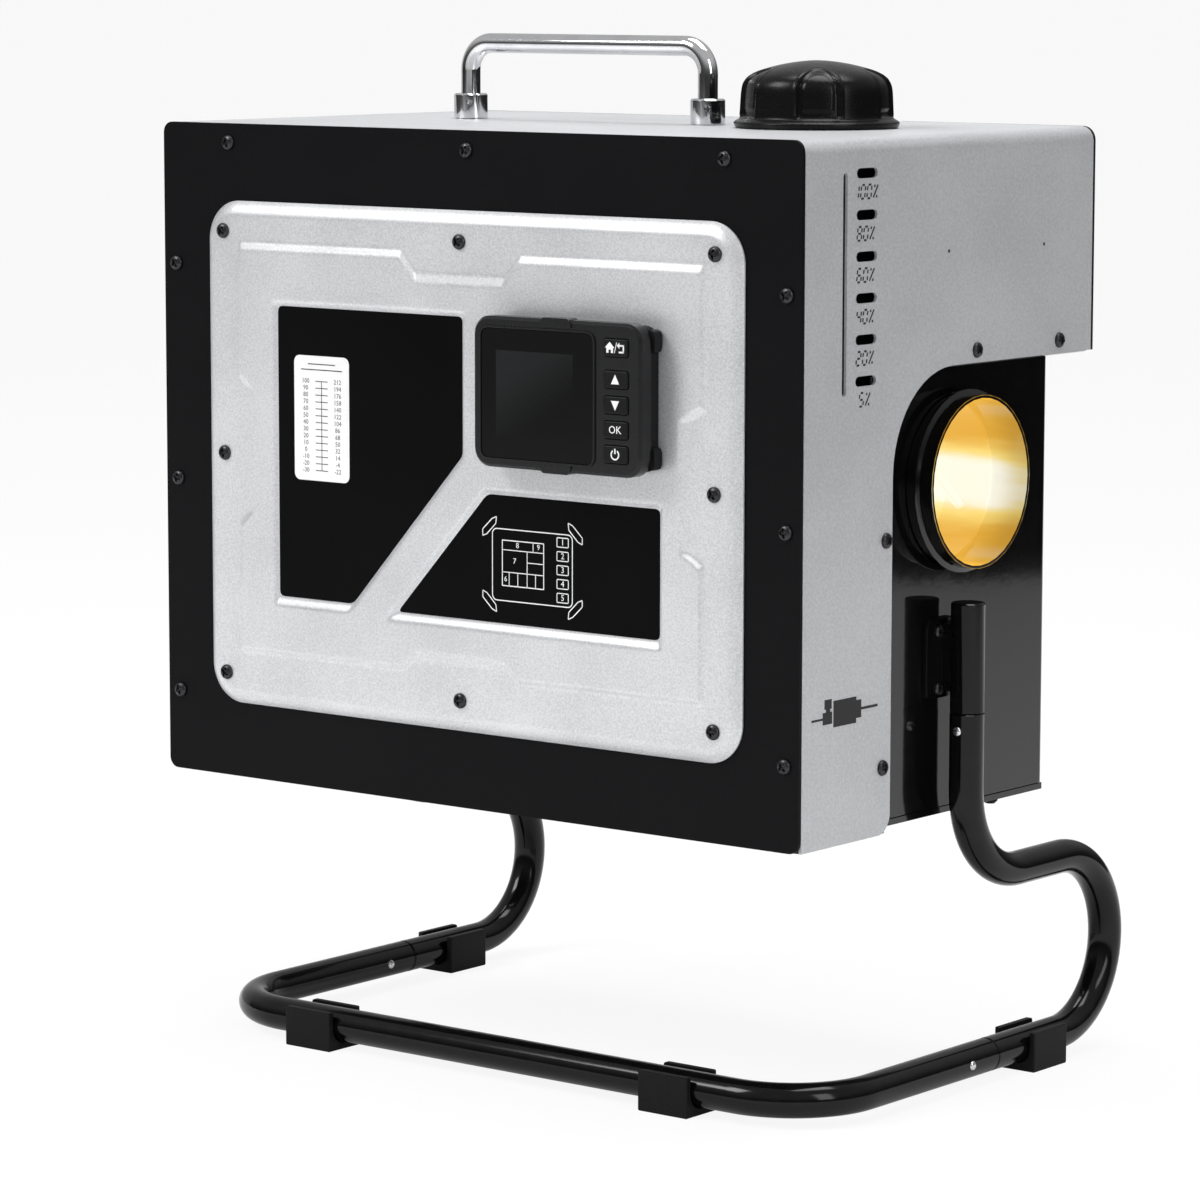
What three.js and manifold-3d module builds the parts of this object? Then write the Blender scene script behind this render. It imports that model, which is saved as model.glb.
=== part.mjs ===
// A portable diesel air heater on a bent-tube stand.
// Millimetres. X runs to the right seen from the front, Y from the front to the back, Z up.
// Pieces are drawn in the case's frame: x = 0 at its left side, y = 0 on the front plate's face,
// z = 0 at its underside. The whole is then set on the floor.
import * as THREE from "three";
import { mergeVertices } from "three/addons/utils/BufferGeometryUtils.js";
import Module from "manifold-3d";

const wasm = await Module();
wasm.setup();

// ---- driving dimensions ----

const gap = 0.3; // between pieces that seat on each other
const slideFit = 0.4; // round a piece that moves in its guide

// case
const caseWidth = 400;
const caseHeight = 331.6;
const caseDepth = 248;
const caseLift = 135; // underside of the case above the floor
const plateThick = 2.2; // front plate
const plateCorner = 5.5;
const coverSheet = 1.5;
const coverBend = 7;
const notchHeight = 220.6; // lower edge of the cover's side behind its front column
const columnDepth = 74.5;
const columnCorner = 10;
const archRadius = 50;

// black inner body and its tray
const bodyLeft = 37.5; // the recess for the air intake is deeper than the outlet's
const bodyInset = 11.5; // on the outlet's side
const bodyRight = caseWidth - bodyInset;
const backRecess = 22.5;
const bodyRear = caseDepth - backRecess;
const bodySheet = 1.2;
const bodyBend = 3;
const stripDepth = 16;
const trayHeight = 3.2;
const trayFloor = 1.4;
const caseFootWidth = 8;
const caseFootHeight = 3;

// front bezel
const bezelLeft = 32.2;
const bezelInset = 31.8;
const bezelRight = caseWidth - bezelInset;
const bezelBottom = 38.4;
const bezelTopInset = 38.5;
const bezelTop = caseHeight - bezelTopInset;
const bezelCorner = 20;
const bezelRise = 5;
const bezelEdge = 3.6;
const plateauRise = 1.5;
const plateauLeft = bezelLeft + 25.2;
const plateauRight = bezelRight - 22;
const plateauBottom = bezelBottom + 29.6;
const plateauTop = bezelTop - 24.3;
const labelDepth = 1.9;
const labelSlope = 3.6;

// fuel gauge in the cover's right side
const sightY = 34;
const sightWidth = 3.5;
const sightBottom = notchHeight - 8.9;
const sightTop = caseHeight - 16;
const levelSlotY = 51.5;
const levelSlotLength = 17;
const levelSlotHeight = 4.8;
const levelSlots = 6;
const lowestLevel = notchHeight - 2.6;
const highestLevel = caseHeight - 16.6;
const sightTubeWidth = 6.4;

// tank, filler and cap
const tankWall = 3;
const tankLeft = 14;
const tankRight = caseWidth - tankLeft;
const tankFront = 7;
const tankBackRoom = 12;
const tankRear = caseDepth - tankBackRoom;
const tankTopRoom = 10.6; // for the handle's nuts under the cover
const tankTop = caseHeight - tankTopRoom;
const tankFloor = notchHeight + 0.8; // over the shelf
const sumpDrop = 17.6; // the sump hangs down in front of the shelf
const sumpFloor = notchHeight - sumpDrop;
const sumpDepth = 63;
const capX = caseWidth - 91.5;
const capY = caseDepth - 110;
const capHeight = 33;
const capFlangeWidth = 81.6;
const capWidth = 75;
const capGrips = 5;
const capGripWidth = 21.5;
const capGripDepth = 2.4;
const capGripTop = 29.5;
const capGripTurn = -53; // degrees, one grip recess faces the front right corner
const threadRoom = 3.5; // for the threads of neck and cap
const neckWidth = 59;
const neckWall = 4;
const neckRise = 20; // above the cover
const sealThick = 2.4;

// handle
const handleSpan = 153.7;
const capRoom = 66.8; // from the handle to the cap's axis, for a hand on the cap
const handleRight = capX - capRoom;
const handleLeft = handleRight - handleSpan;
const handleY = capY;
const handleHeight = 44;
const handleRod = 10;
const handleBend = 14;
const ferruleWidth = 17.5;
const ferruleHeight = 13;

// control unit
const unitWidth = 101.6;
const unitHeight = 72.3;
const unitInset = 44; // from the bezel's right edge
const unitTopInset = 48.1;
const unitRight = bezelRight - unitInset;
const unitLeft = unitRight - unitWidth;
const unitTop = bezelTop - unitTopInset;
const unitBottom = unitTop - unitHeight;
const unitCorner = 9;
const unitDepth = 16; // stands out from the bezel's plateau
const unitWall = 2;
const cradleDepth = 7.4;
const cradleInset = 1.6;
const bumperReach = 3;
const lensLeft = unitLeft + 5.6;
const lensRight = unitRight - 28.2;
const lensBottom = unitBottom + 4.9;
const lensTop = unitTop - 5.8;
const lensMiddle = [(lensLeft + lensRight) / 2, (lensBottom + lensTop) / 2];
const lensThick = 1.6;
const lensRim = 1.3;
const keyX = unitRight - 14.5;
const keyWidth = 14.6;
const keyHeight = 8.2;
const keyCorner = 1.6;
const keyRise = 0.9;
const keyTravel = 1;
const keyDrops = { home: 11.5, up: 26.4, down: 38.4, ok: 50.1, power: 61.6 }; // below the top

// warm air path, along X
const airY = bodyRear - 81.5;
const airZ = notchHeight - 57.6;
const ductWidth = 84.5;
const ductWall = 1.5;
const ductReach = 15.3; // past the body's side
const ductBead = 2.4;
const ductBeadBack = 8.9; // behind the rim
const nozzleBack = 20.6; // the inner sleeve's edge, behind the rim
const casingLeft = bodyLeft + 12.5;
const casingRight = bodyRight - 39.9;
const casingWidth = 112;
const casingHeight = 108;
const casingWall = 2.2;
const casingCorner = 26;
const fanWidth = 92;
const fanBlades = 7;
const shaftWidth = 6;
const wheelWidth = 66;
const wheelVanes = 9;
const motorWidth = 52;
const motorLeft = casingLeft + 30;
const motorRight = motorLeft + 48;
const housingLeft = motorRight + 4;
const housingRight = housingLeft + 40;
const flameTubeLength = 91;
const exchangerRight = casingRight - 17.6;
const exchangerCore = 72;
const exchangerFins = 11;
const finThick = 2.2;
const guardWidth = 100;

const exhaustX = housingRight + 43;
const airInletX = housingRight - 7;
const pipeZ = 40; // both pipes leave the back at this height
const pipeTop = airZ - 57;
const exhaustPipeWidth = 24;
const airPipeWidth = 20;
const pipeWall = 1.4;
const socketX = bodyLeft + 42.5;
const socketZ = 60;

// stand, all of one tube with one bending tool
const tubeWidth = 17;
const tubeWall = 1.2;
const tubeBend = 45;
const socketReach = 13.5; // tube centre outside the body's side
const legY = airY - 7.5;
const socketTop = airZ - 58;
const socketSeam = 51;
const plugLength = 20; // reduced ends that slip into the next tube
const plugWidth = 14;
const shoulderZ = -32.5; // upper run of the leg
const shoulderY = legY + 128; // the bend's rearmost centre line
const padFloor = 4; // rubber under the tube
const railZ = tubeWidth / 2 + padFloor - caseLift;
const railSeam = legY + 19.5;
const bowY = 9.5;
const padWall = 3.1;
const padLength = 30;
const padTop = railZ + 7.7;
const frontPads = [bodyLeft + 58, bodyRight - 66];
const rearPadY = railSeam + 41;

// fuel pump and line
const pumpY = 38;
const pumpZ = 70;
const filterX = tankRight - 14;
const pumpRight = filterX - 20;
const pumpLeft = pumpRight - 60;
const pumpWidth = 28;
const barbWidth = 3.8;
const barbLength = 10;
const hoseWidth = 7;
const hoseBore = 4.6;
const filterTop = sumpFloor - 20;
const filterBottom = filterTop - 38;
const filterWidth = 22;
const plungerWidth = 8;
const plungerLength = 16;
const plungerTravel = 3;
const plungerRight = pumpRight - 22;

// control board, on the back of the front plate
const boardLeft = 60;
const boardBottom = 64;
const boardWidth = 96;
const boardHeight = 86;

// ---- derived places ----

const coverFront = plateThick + gap;
const coverBack = caseDepth - coverSheet - gap;
const plateauY = -bezelRise - plateauRise;
const unitFront = plateauY - unitDepth;
const unitSplit = plateauY - gap - cradleDepth;
const switchFace = unitFront + unitWall + 0.9 + keyTravel + gap;
const standMiddle = (bodyLeft + bodyRight) / 2;
const railReach = (bodyRight - bodyLeft) / 2 + socketReach;
const tubeBore = tubeWidth - 2 * tubeWall;
const rimX = bodyRight + ductReach;
const burnerX = (housingLeft + 20 + housingRight) / 2;
const airStubX = housingLeft + 10;
const fuelEntryZ = airZ - 13;

// ---- outlines ----

const quarter = Math.PI / 2;

function roundRect(x0, y0, x1, y1, r) {
  const shape = new THREE.Shape();
  shape.moveTo(x0 + r, y0);
  shape.lineTo(x1 - r, y0);
  shape.absarc(x1 - r, y0 + r, r, -quarter, 0, false);
  shape.lineTo(x1, y1 - r);
  shape.absarc(x1 - r, y1 - r, r, 0, quarter, false);
  shape.lineTo(x0 + r, y1);
  shape.absarc(x0 + r, y1 - r, r, quarter, 2 * quarter, false);
  shape.lineTo(x0, y0 + r);
  shape.absarc(x0 + r, y0 + r, r, 2 * quarter, 3 * quarter, false);
  return shape;
}

function centredRect(x, y, width, height, r) {
  return roundRect(x - width / 2, y - height / 2, x + width / 2, y + height / 2, r);
}

function disc(x, y, radius) {
  return new THREE.Shape().absarc(x, y, radius, 0, 4 * quarter, false);
}

// A tube's section. The bore is drawn with fewer sides than the outside, all clear of its radius.
function tubeSection(outer, inner, sides = 8) {
  const shape = disc(0, 0, outer);
  const reach = inner / Math.cos((2 * quarter) / sides);
  const bore = [];
  for (let k = sides; k > 0; k--) {
    const angle = (4 * quarter * k) / sides;
    bore.push(new THREE.Vector2(reach * Math.cos(angle), reach * Math.sin(angle)));
  }
  shape.holes.push(new THREE.Path(bore));
  return shape;
}

// A polygon whose corners are eased by a curve that starts this far from each corner.
function easedPolygon(points, ease) {
  const shape = new THREE.Shape();
  points.forEach(([x, y], i) => {
    const corner = new THREE.Vector2(x, y);
    const before = new THREE.Vector2(...points.at(i - 1)).sub(corner);
    const after = new THREE.Vector2(...points[(i + 1) % points.length]).sub(corner);
    const enter = before.setLength(ease).add(corner);
    const leave = after.setLength(ease).add(corner);
    if (i === 0) shape.moveTo(enter.x, enter.y);
    else shape.lineTo(enter.x, enter.y);
    shape.quadraticCurveTo(x, y, leave.x, leave.y);
  });
  shape.closePath();
  return shape;
}

// Straight runs joined by round bends. Only the bends are divided into steps.
class BentLine extends THREE.Curve {
  constructor(corners, radius, steps) {
    super();
    this.at = [];
    this.along = [];
    const first = corners[1].clone().sub(corners[0]).normalize();
    this.station(corners[0].clone(), first);
    for (let i = 1; i < corners.length - 1; i++) {
      this.bend(corners[i - 1], corners[i], corners[i + 1], radius, steps);
    }
    const last = corners.at(-1).clone().sub(corners.at(-2)).normalize();
    this.station(corners.at(-1).clone(), last);
  }

  station(point, tangent) {
    if (this.at.length && this.at.at(-1).distanceTo(point) < 0.01) return;
    this.at.push(point);
    this.along.push(tangent);
  }

  bend(before, corner, after, radius, steps) {
    const into = corner.clone().sub(before).normalize();
    const out = after.clone().sub(corner).normalize();
    const turn = into.angleTo(out);
    const axis = into.clone().cross(out).normalize();
    const start = corner.clone().addScaledVector(into, -radius * Math.tan(turn / 2));
    const centre = start.clone().addScaledVector(axis.clone().cross(into), radius);
    for (let k = 0; k <= steps; k++) {
      const angle = (turn * k) / steps;
      const point = start.clone().sub(centre).applyAxisAngle(axis, angle).add(centre);
      this.station(point, into.clone().applyAxisAngle(axis, angle));
    }
  }

  get steps() {
    return this.at.length - 1;
  }

  getPoint(t, target = new THREE.Vector3()) {
    return target.copy(this.at[Math.round(t * this.steps)]);
  }

  getPointAt(t, target) {
    return this.getPoint(t, target);
  }

  getTangentAt(t, target = new THREE.Vector3()) {
    return target.copy(this.along[Math.round(t * this.steps)]);
  }
}

// The section of a bent sheet, from the middle line of its corners.
function sheetSection(corners, radius, thickness, steps = 3) {
  const line = new BentLine(
    corners.map(([x, y]) => new THREE.Vector3(x, y, 0)),
    radius,
    steps,
  );
  const side = (offset) =>
    line.at.map((p, i) => {
      const t = line.along[i];
      return new THREE.Vector2(p.x - t.y * offset, p.y + t.x * offset);
    });
  return new THREE.Shape([...side(thickness / 2), ...side(-thickness / 2).reverse()]);
}

// ---- solids ----

function solid(geometry) {
  const bare = new THREE.BufferGeometry();
  bare.setAttribute("position", geometry.getAttribute("position"));
  bare.setIndex(geometry.index);
  const merged = mergeVertices(bare, 1e-4);
  return new wasm.Manifold(
    new wasm.Mesh({
      numProp: 3,
      vertProperties: merged.getAttribute("position").array,
      triVerts: new Uint32Array(merged.index.array),
    }),
  );
}

function geometryOf(body) {
  const mesh = body.getMesh();
  const geometry = new THREE.BufferGeometry();
  geometry.setAttribute("position", new THREE.BufferAttribute(mesh.vertProperties, 3));
  geometry.setIndex(new THREE.BufferAttribute(mesh.triVerts, 1));
  geometry.computeVertexNormals();
  return geometry;
}

const join = (...bodies) => bodies.reduce((all, body) => all.add(body));
const cut = (body, ...tools) => tools.reduce((rest, tool) => rest.subtract(tool), body);

// Turn a shape drawn in X and Y so that it is drawn in Y and Z, or in X and Z.
const facingX = new THREE.Matrix4().makeBasis(
  new THREE.Vector3(0, 1, 0),
  new THREE.Vector3(0, 0, 1),
  new THREE.Vector3(1, 0, 0),
);
const facingY = new THREE.Matrix4().makeBasis(
  new THREE.Vector3(1, 0, 0),
  new THREE.Vector3(0, 0, 1),
  new THREE.Vector3(0, -1, 0),
);

function prismGeometry(shape, from, to, curveSegments) {
  const options = { depth: to - from, bevelEnabled: false, curveSegments };
  return new THREE.ExtrudeGeometry(shape, options).translate(0, 0, from);
}

function prismZ(shape, from, to, curveSegments = 4) {
  return solid(prismGeometry(shape, from, to, curveSegments));
}

function prismX(shape, from, to, curveSegments = 4) {
  return solid(prismGeometry(shape, from, to, curveSegments).applyMatrix4(facingX));
}

function prismY(shape, from, to, curveSegments = 4) {
  return solid(prismGeometry(shape, -to, -from, curveSegments).applyMatrix4(facingY));
}

function box(x0, x1, y0, y1, z0, z1) {
  const geometry = new THREE.BoxGeometry(x1 - x0, y1 - y0, z1 - z0);
  return solid(geometry.translate((x0 + x1) / 2, (y0 + y1) / 2, (z0 + z1) / 2));
}

// Revolved profiles hold [radius, height] pairs, with the outer side drawn upwards.
function lathe(profile, sides) {
  const points = profile.map(([r, h]) => new THREE.Vector2(r, h));
  return new THREE.LatheGeometry(points, sides);
}

function revolveZ(profile, x, y, sides = 24) {
  return solid(lathe(profile, sides).rotateX(quarter).translate(x, y, 0));
}

function revolveX(profile, y, z, sides = 24) {
  return solid(lathe(profile, sides).rotateZ(-quarter).translate(0, y, z));
}

function revolveY(profile, x, z, sides = 24) {
  return solid(lathe(profile, sides).translate(x, 0, z));
}

function rod(radius, from, to) {
  return [[0, from], [radius, from], [radius, to], [0, to]];
}

function sleeve(outer, inner, from, to) {
  return [[inner, from], [outer, from], [outer, to], [inner, to], [inner, from]];
}

// A rod or tube swept along a bent line.
function sweep(section, corners, radius, steps, curveSegments) {
  const line = new BentLine(
    corners.map((corner) => new THREE.Vector3(...corner)),
    radius,
    steps,
  );
  const options = { extrudePath: line, steps: line.steps, curveSegments, bevelEnabled: false };
  return solid(new THREE.ExtrudeGeometry(section, options));
}

// A relief that faces the front: the outline at its face, spreading by run over rise.
function relief(shape, back, front, run, rise, bevelSegments, curveSegments) {
  const raw = new THREE.ExtrudeGeometry(shape, {
    depth: back - front,
    bevelThickness: rise,
    bevelSize: run,
    bevelSegments,
    curveSegments,
  });
  raw.translate(0, 0, -back - rise).applyMatrix4(facingY);
  const behind = 2 * (rise + back - front) + 10;
  return cut(solid(raw), box(-10, caseWidth + 10, back, back + behind, -10, caseHeight + 10));
}

// A plate with its front edge rounded over inside its outline.
function roundedPlate(shape, back, front, edge, bevelSegments, curveSegments) {
  const raw = new THREE.ExtrudeGeometry(shape, {
    depth: back - front,
    bevelThickness: edge,
    bevelSize: edge,
    bevelOffset: -edge,
    bevelSegments,
    curveSegments,
  });
  raw.translate(0, 0, -back - edge).applyMatrix4(facingY);
  const behind = 2 * (edge + back - front) + 10;
  return cut(solid(raw), box(-10, caseWidth + 10, back, back + behind, -10, caseHeight + 10));
}

// ---- finishes ----

const finish = (color, roughness, metalness) =>
  new THREE.MeshStandardMaterial({ color, roughness, metalness });

const satinBlack = finish(0x17171a, 0.45, 0.1);
const glossBlack = finish(0x0b0b0d, 0.12, 0.1);
const silverPaint = finish(0xa9abae, 0.38, 0.6);
const brightSilver = finish(0xc9cacd, 0.4, 0.55);
const chrome = finish(0xe2e4e6, 0.08, 1);
const darkPlastic = finish(0x1d1e20, 0.55, 0);
const keyPlastic = finish(0x141416, 0.5, 0);
const screenGlass = finish(0x050608, 0.05, 0);
const rubber = finish(0x121213, 0.8, 0);
const tankPlastic = finish(0x2a2b2d, 0.6, 0);
const clearPlastic = finish(0x9a9c94, 0.25, 0);
const castAlloy = finish(0x9b9da0, 0.5, 0.8);
const steel = finish(0x8f9194, 0.35, 0.9);
const greenBoard = finish(0x1c4a2c, 0.5, 0.1);

const heater = new THREE.Group();

function add(name, body, material) {
  const mesh = new THREE.Mesh(geometryOf(body), material);
  mesh.name = name;
  heater.add(mesh);
}

// ---- case ----

function frontPlate() {
  return prismY(roundRect(0, 0, caseWidth, caseHeight, plateCorner), 0, plateThick);
}

// What the cover's sides leave open behind the front column: an arch over the outlet.
function sideOpening() {
  const shape = new THREE.Shape();
  shape.moveTo(columnDepth - columnCorner, -1);
  shape.lineTo(columnDepth - columnCorner, 0);
  shape.absarc(columnDepth - columnCorner, columnCorner, columnCorner, -quarter, 0, false);
  shape.lineTo(columnDepth, notchHeight - archRadius);
  const archY = columnDepth + archRadius;
  shape.absarc(archY, notchHeight - archRadius, archRadius, 2 * quarter, quarter, true);
  shape.lineTo(caseDepth + 1, notchHeight);
  shape.lineTo(caseDepth + 1, -1);
  shape.closePath();
  return prismX(shape, -1, caseWidth + 1, 6);
}

function gaugeSlots() {
  const from = caseWidth - coverSheet - 2;
  const to = caseWidth + 1;
  const half = sightWidth / 2;
  const sight = roundRect(sightY - half, sightBottom, sightY + half, sightTop, half - 0.05);
  const levels = Array.from({ length: levelSlots }, (_, k) => {
    const z = lowestLevel + ((highestLevel - lowestLevel) * k) / (levelSlots - 1);
    const r = levelSlotHeight / 2 - 0.05;
    return prismX(centredRect(levelSlotY, z, levelSlotLength, levelSlotHeight, r), from, to, 1);
  });
  return [prismX(sight, from, to, 1), ...levels];
}

function outerCover() {
  const inset = coverSheet / 2;
  const top = caseHeight - inset;
  const corners = [[inset, 0], [inset, top], [caseWidth - inset, top], [caseWidth - inset, 0]];
  const section = sheetSection(corners, coverBend - inset, coverSheet, 4);
  const fillerHole = disc(capX, capY, neckWidth / 2 + 4);
  return cut(
    prismY(section, coverFront, coverBack),
    sideOpening(),
    prismZ(fillerHole, caseHeight - 5, caseHeight + 1, 12),
    ...gaugeSlots(),
  );
}

function rearPanel() {
  const shape = new THREE.Shape();
  const top = caseHeight - coverBend;
  shape.moveTo(0, notchHeight);
  shape.lineTo(caseWidth, notchHeight);
  shape.lineTo(caseWidth, top);
  shape.absarc(caseWidth - coverBend, top, coverBend, 0, quarter, false);
  shape.lineTo(coverBend, caseHeight);
  shape.absarc(coverBend, top, coverBend, quarter, 2 * quarter, false);
  shape.closePath();
  return prismY(shape, caseDepth - coverSheet, caseDepth);
}

// The shelf under the tank closes the case over the side recesses. Its flanges take the cover.
function tankShelf() {
  const top = notchHeight;
  const reach = coverSheet + gap;
  const flange = 13;
  const inset = bodySheet / 2;
  const corners = [
    [reach + inset, top + flange],
    [reach + inset, top - inset],
    [caseWidth - reach - inset, top - inset],
    [caseWidth - reach - inset, top + flange],
  ];
  const section = sheetSection(corners, 1.8, bodySheet, 2);
  return prismY(section, columnDepth + gap, coverBack);
}

// The black body: two sides, the back and two strips that reach out to the cover's columns.
function bodyShell() {
  const half = bodySheet / 2;
  const left = bodyLeft + half;
  const right = bodyRight - half;
  const coverInner = coverSheet + gap + half;
  const jog = columnDepth - half;
  const corners = [
    [coverInner, jog - stripDepth],
    [coverInner, jog],
    [left, jog],
    [left, bodyRear - half],
    [right, bodyRear - half],
    [right, jog],
    [caseWidth - coverInner, jog],
    [caseWidth - coverInner, jog - stripDepth],
  ];
  const section = sheetSection(corners, bodyBend, bodySheet, 3);
  const top = notchHeight - bodySheet - gap;
  const walls = prismZ(section, trayHeight + gap, top);
  return cut(
    walls,
    prismX(disc(airY, airZ, ductWidth / 2 + 2 * gap), bodyRight - 5, bodyRight + 1, 18),
    prismX(disc(airY, airZ, guardWidth / 2 - 5), bodyLeft - 1, bodyLeft + 5, 12),
    prismY(disc(exhaustX, pipeZ, exhaustPipeWidth / 2 + 1), bodyRear - 5, bodyRear + 1, 6),
    prismY(disc(airInletX, pipeZ, airPipeWidth / 2 + 1), bodyRear - 5, bodyRear + 1, 6),
    prismY(disc(socketX, socketZ, 8.5), bodyRear - 5, bodyRear + 1, 8),
  );
}

function bottomTray() {
  const reach = coverSheet + gap;
  const front = coverFront;
  const jog = columnDepth - bodySheet;
  const outline = [
    [reach, front],
    [caseWidth - reach, front],
    [caseWidth - reach, jog],
    [bodyRight, jog],
    [bodyRight, bodyRear],
    [bodyLeft, bodyRear],
    [bodyLeft, jog],
    [reach, jog],
  ];
  const inward = outline.map(([x, y]) => {
    const dx = x < standMiddle ? bodySheet : -bodySheet;
    const dy = y < bodyRear / 2 && y === front ? bodySheet : -bodySheet;
    return [x + dx, y + dy];
  });
  const feet = caseFeet().map(([x, y]) => prismZ(disc(x, y, 2), -1, trayHeight, 4));
  return cut(
    prismZ(easedPolygon(outline, 1), 0, trayHeight, 1),
    prismZ(easedPolygon(inward, 1), trayFloor, trayHeight + 1, 1),
    ...feet,
  );
}

function caseFeet() {
  const [side, front, rear] = [25, 16, 37.5];
  const y = bodyRear - rear;
  return [[side, front], [caseWidth - side - 2, front], [bodyRight - 6.5, y], [bodyLeft + 6.5, y]];
}

function caseFoot(x, y) {
  const r = caseFootWidth / 2;
  const profile = [
    [0, -caseFootHeight],
    [r * 0.6, -caseFootHeight],
    [r * 0.92, -caseFootHeight * 0.6],
    [r, -gap],
    [1.7, -gap],
    [1.7, trayFloor + 1.4],
    [0, trayFloor + 1.4],
  ];
  return revolveZ(profile, x, y, 8);
}

// ---- bezel ----

// The raised middle of the bezel steps inwards where screws and feeds sit.
function plateauOutline() {
  const [left, right, bottom, top] = [plateauLeft, plateauRight, plateauBottom, plateauTop];
  const x = (left + right) / 2 - 2;
  const z = (bottom + top) / 2;
  const notchX = [x - 37.6, x - 27, x + 27, x + 37.6];
  const notchZ = [z - 38.5, z - 30.6, z + 30.6, z + 38.5];
  const [notchTop, notchBottom, notchLeft, notchRight] = [top - 12.6, bottom + 9.5, left + 8.6, right - 12.7];
  return easedPolygon(
    [
      [left, bottom],
      [notchX[0], bottom],
      [notchX[1], notchBottom],
      [notchX[2], notchBottom],
      [notchX[3], bottom],
      [right, bottom],
      [right, notchZ[0]],
      [notchRight, notchZ[1]],
      [notchRight, notchZ[2]],
      [right, notchZ[3]],
      [right, top],
      [notchX[3], top],
      [notchX[2], notchTop],
      [notchX[1], notchTop],
      [notchX[0], top],
      [left, top],
      [left, notchZ[3]],
      [notchLeft, notchZ[2]],
      [notchLeft, notchZ[1]],
      [left, notchZ[0]],
    ],
    3,
  );
}

// Two recesses leave a slanting band and the control unit's place between them.
function labelOutlines() {
  const left = plateauLeft + 23.4;
  const right = plateauRight - 23.4;
  const middle = (plateauLeft + plateauRight) / 2;
  const bottom = plateauBottom + 26.6;
  return [
    [[left, bottom + 1], [left + 49.8, bottom + 1], [middle, unitBottom + 1.6], [middle, plateauTop - 26.3], [left, plateauTop - 26.3]],
    [[left + 77.6, bottom - 0.6], [right, bottom - 0.6], [right, unitBottom - 15.2], [middle + 14.7, unitBottom - 15.2]],
  ];
}

function labelRecess(outline) {
  const raw = new THREE.ExtrudeGeometry(easedPolygon(outline, 2), {
    depth: 5,
    bevelThickness: labelDepth,
    bevelSize: labelSlope,
    bevelSegments: 2,
    curveSegments: 2,
  });
  const floorY = plateauY + labelDepth;
  return solid(raw.translate(0, 0, -floorY + labelDepth).applyMatrix4(facingY));
}

function frontBezel() {
  const outline = roundRect(bezelLeft, bezelBottom, bezelRight, bezelTop, bezelCorner);
  const base = roundedPlate(outline, -gap, -bezelRise, bezelEdge, 3, 4);
  const plateau = relief(plateauOutline(), -bezelRise + 1, plateauY, 2.4, plateauRise, 2, 2);
  const [x, z] = [(unitLeft + unitRight) / 2, (unitBottom + unitTop) / 2];
  const cableHole = prismY(centredRect(x, z, 24, 14, 3), -20, 5, 2);
  return cut(join(base, plateau), ...labelOutlines().map(labelRecess), cableHole);
}

// ---- handle ----

function handleBar() {
  const foot = caseHeight + 2.5;
  const top = caseHeight + handleHeight - handleRod / 2;
  const corners = [
    [handleLeft, handleY, foot],
    [handleLeft, handleY, top],
    [handleRight, handleY, top],
    [handleRight, handleY, foot],
  ];
  return sweep(disc(0, 0, handleRod / 2), corners, handleBend, 6, 8);
}

function handleFerrule(x) {
  const base = caseHeight + gap;
  const top = caseHeight + ferruleHeight;
  const r = ferruleWidth / 2;
  const bore = handleRod / 2 + gap;
  const profile = [
    [0, base],
    [r, base],
    [r, top - 0.8],
    [r - 0.8, top],
    [bore, top],
    [bore, base + 1.6],
    [0, base + 1.6],
  ];
  const screwHole = solid(
    new THREE.CylinderGeometry(1.7, 1.7, r, 10)
      .translate(0, -r / 2 - bore + 1, 0)
      .rotateZ(Math.PI / 5)
      .translate(x, handleY, base + ferruleHeight * 0.6),
  );
  return cut(revolveZ(profile, x, handleY, 20), screwHole);
}

// ---- tank, filler and cap ----

function tankProfile(inset, ease) {
  const left = tankFront + inset;
  const rear = tankRear - inset;
  const top = tankTop - inset;
  const floor = tankFloor + inset;
  const sump = sumpFloor + inset;
  const step = tankFront + sumpDepth - inset;
  const outline = [
    [left, sump],
    [step, sump],
    [step + 0.8, floor],
    [rear, floor],
    [rear, top],
    [left, top],
  ];
  return easedPolygon(outline, ease);
}

function fuelTank() {
  const outer = prismX(tankProfile(0, 5), tankLeft, tankRight, 2);
  const inner = prismX(tankProfile(tankWall, 3.5), tankLeft + tankWall, tankRight - tankWall, 2);
  const neckHole = revolveZ(rod(spigotRadius + gap, tankTop - 8, tankTop + 1), capX, capY, 24);
  const drain = revolveZ(rod(barbWidth / 2, sumpFloor - barbLength, sumpFloor + 1), filterX, pumpY, 10);
  const drainBore = revolveZ(rod(1.1, sumpFloor - barbLength - 1, sumpFloor + 6), filterX, pumpY, 8);
  return cut(join(outer, drain), inner, neckHole, drainBore);
}

const spigotRadius = neckWidth / 2 - 2.2;

// The neck is let into the tank's top. Its shoulder sits on the rim of the hole.
function fillerNeck() {
  const outer = neckWidth / 2;
  const bore = outer - neckWall;
  const top = caseHeight + neckRise;
  const profile = [
    [bore, tankTop - 5],
    [spigotRadius, tankTop - 5],
    [spigotRadius, tankTop + gap],
    [outer, tankTop + gap],
    [outer, top - 1],
    [outer - 1, top],
    [bore, top],
    [bore, tankTop - 5],
  ];
  return revolveZ(profile, capX, capY, 24);
}

function sightTube() {
  const x = caseWidth - coverSheet - 1 - sightTubeWidth / 2;
  const r = sightTubeWidth / 2;
  const tube = revolveZ(rod(r, sightBottom - 3, sightTop + 2), x, sightY, 12);
  const arm = (z) => revolveX(rod(r - 0.6, tankRight + gap, x), sightY, z, 10);
  return join(tube, arm(sightBottom + 4), arm(sightTop - 5));
}

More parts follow.
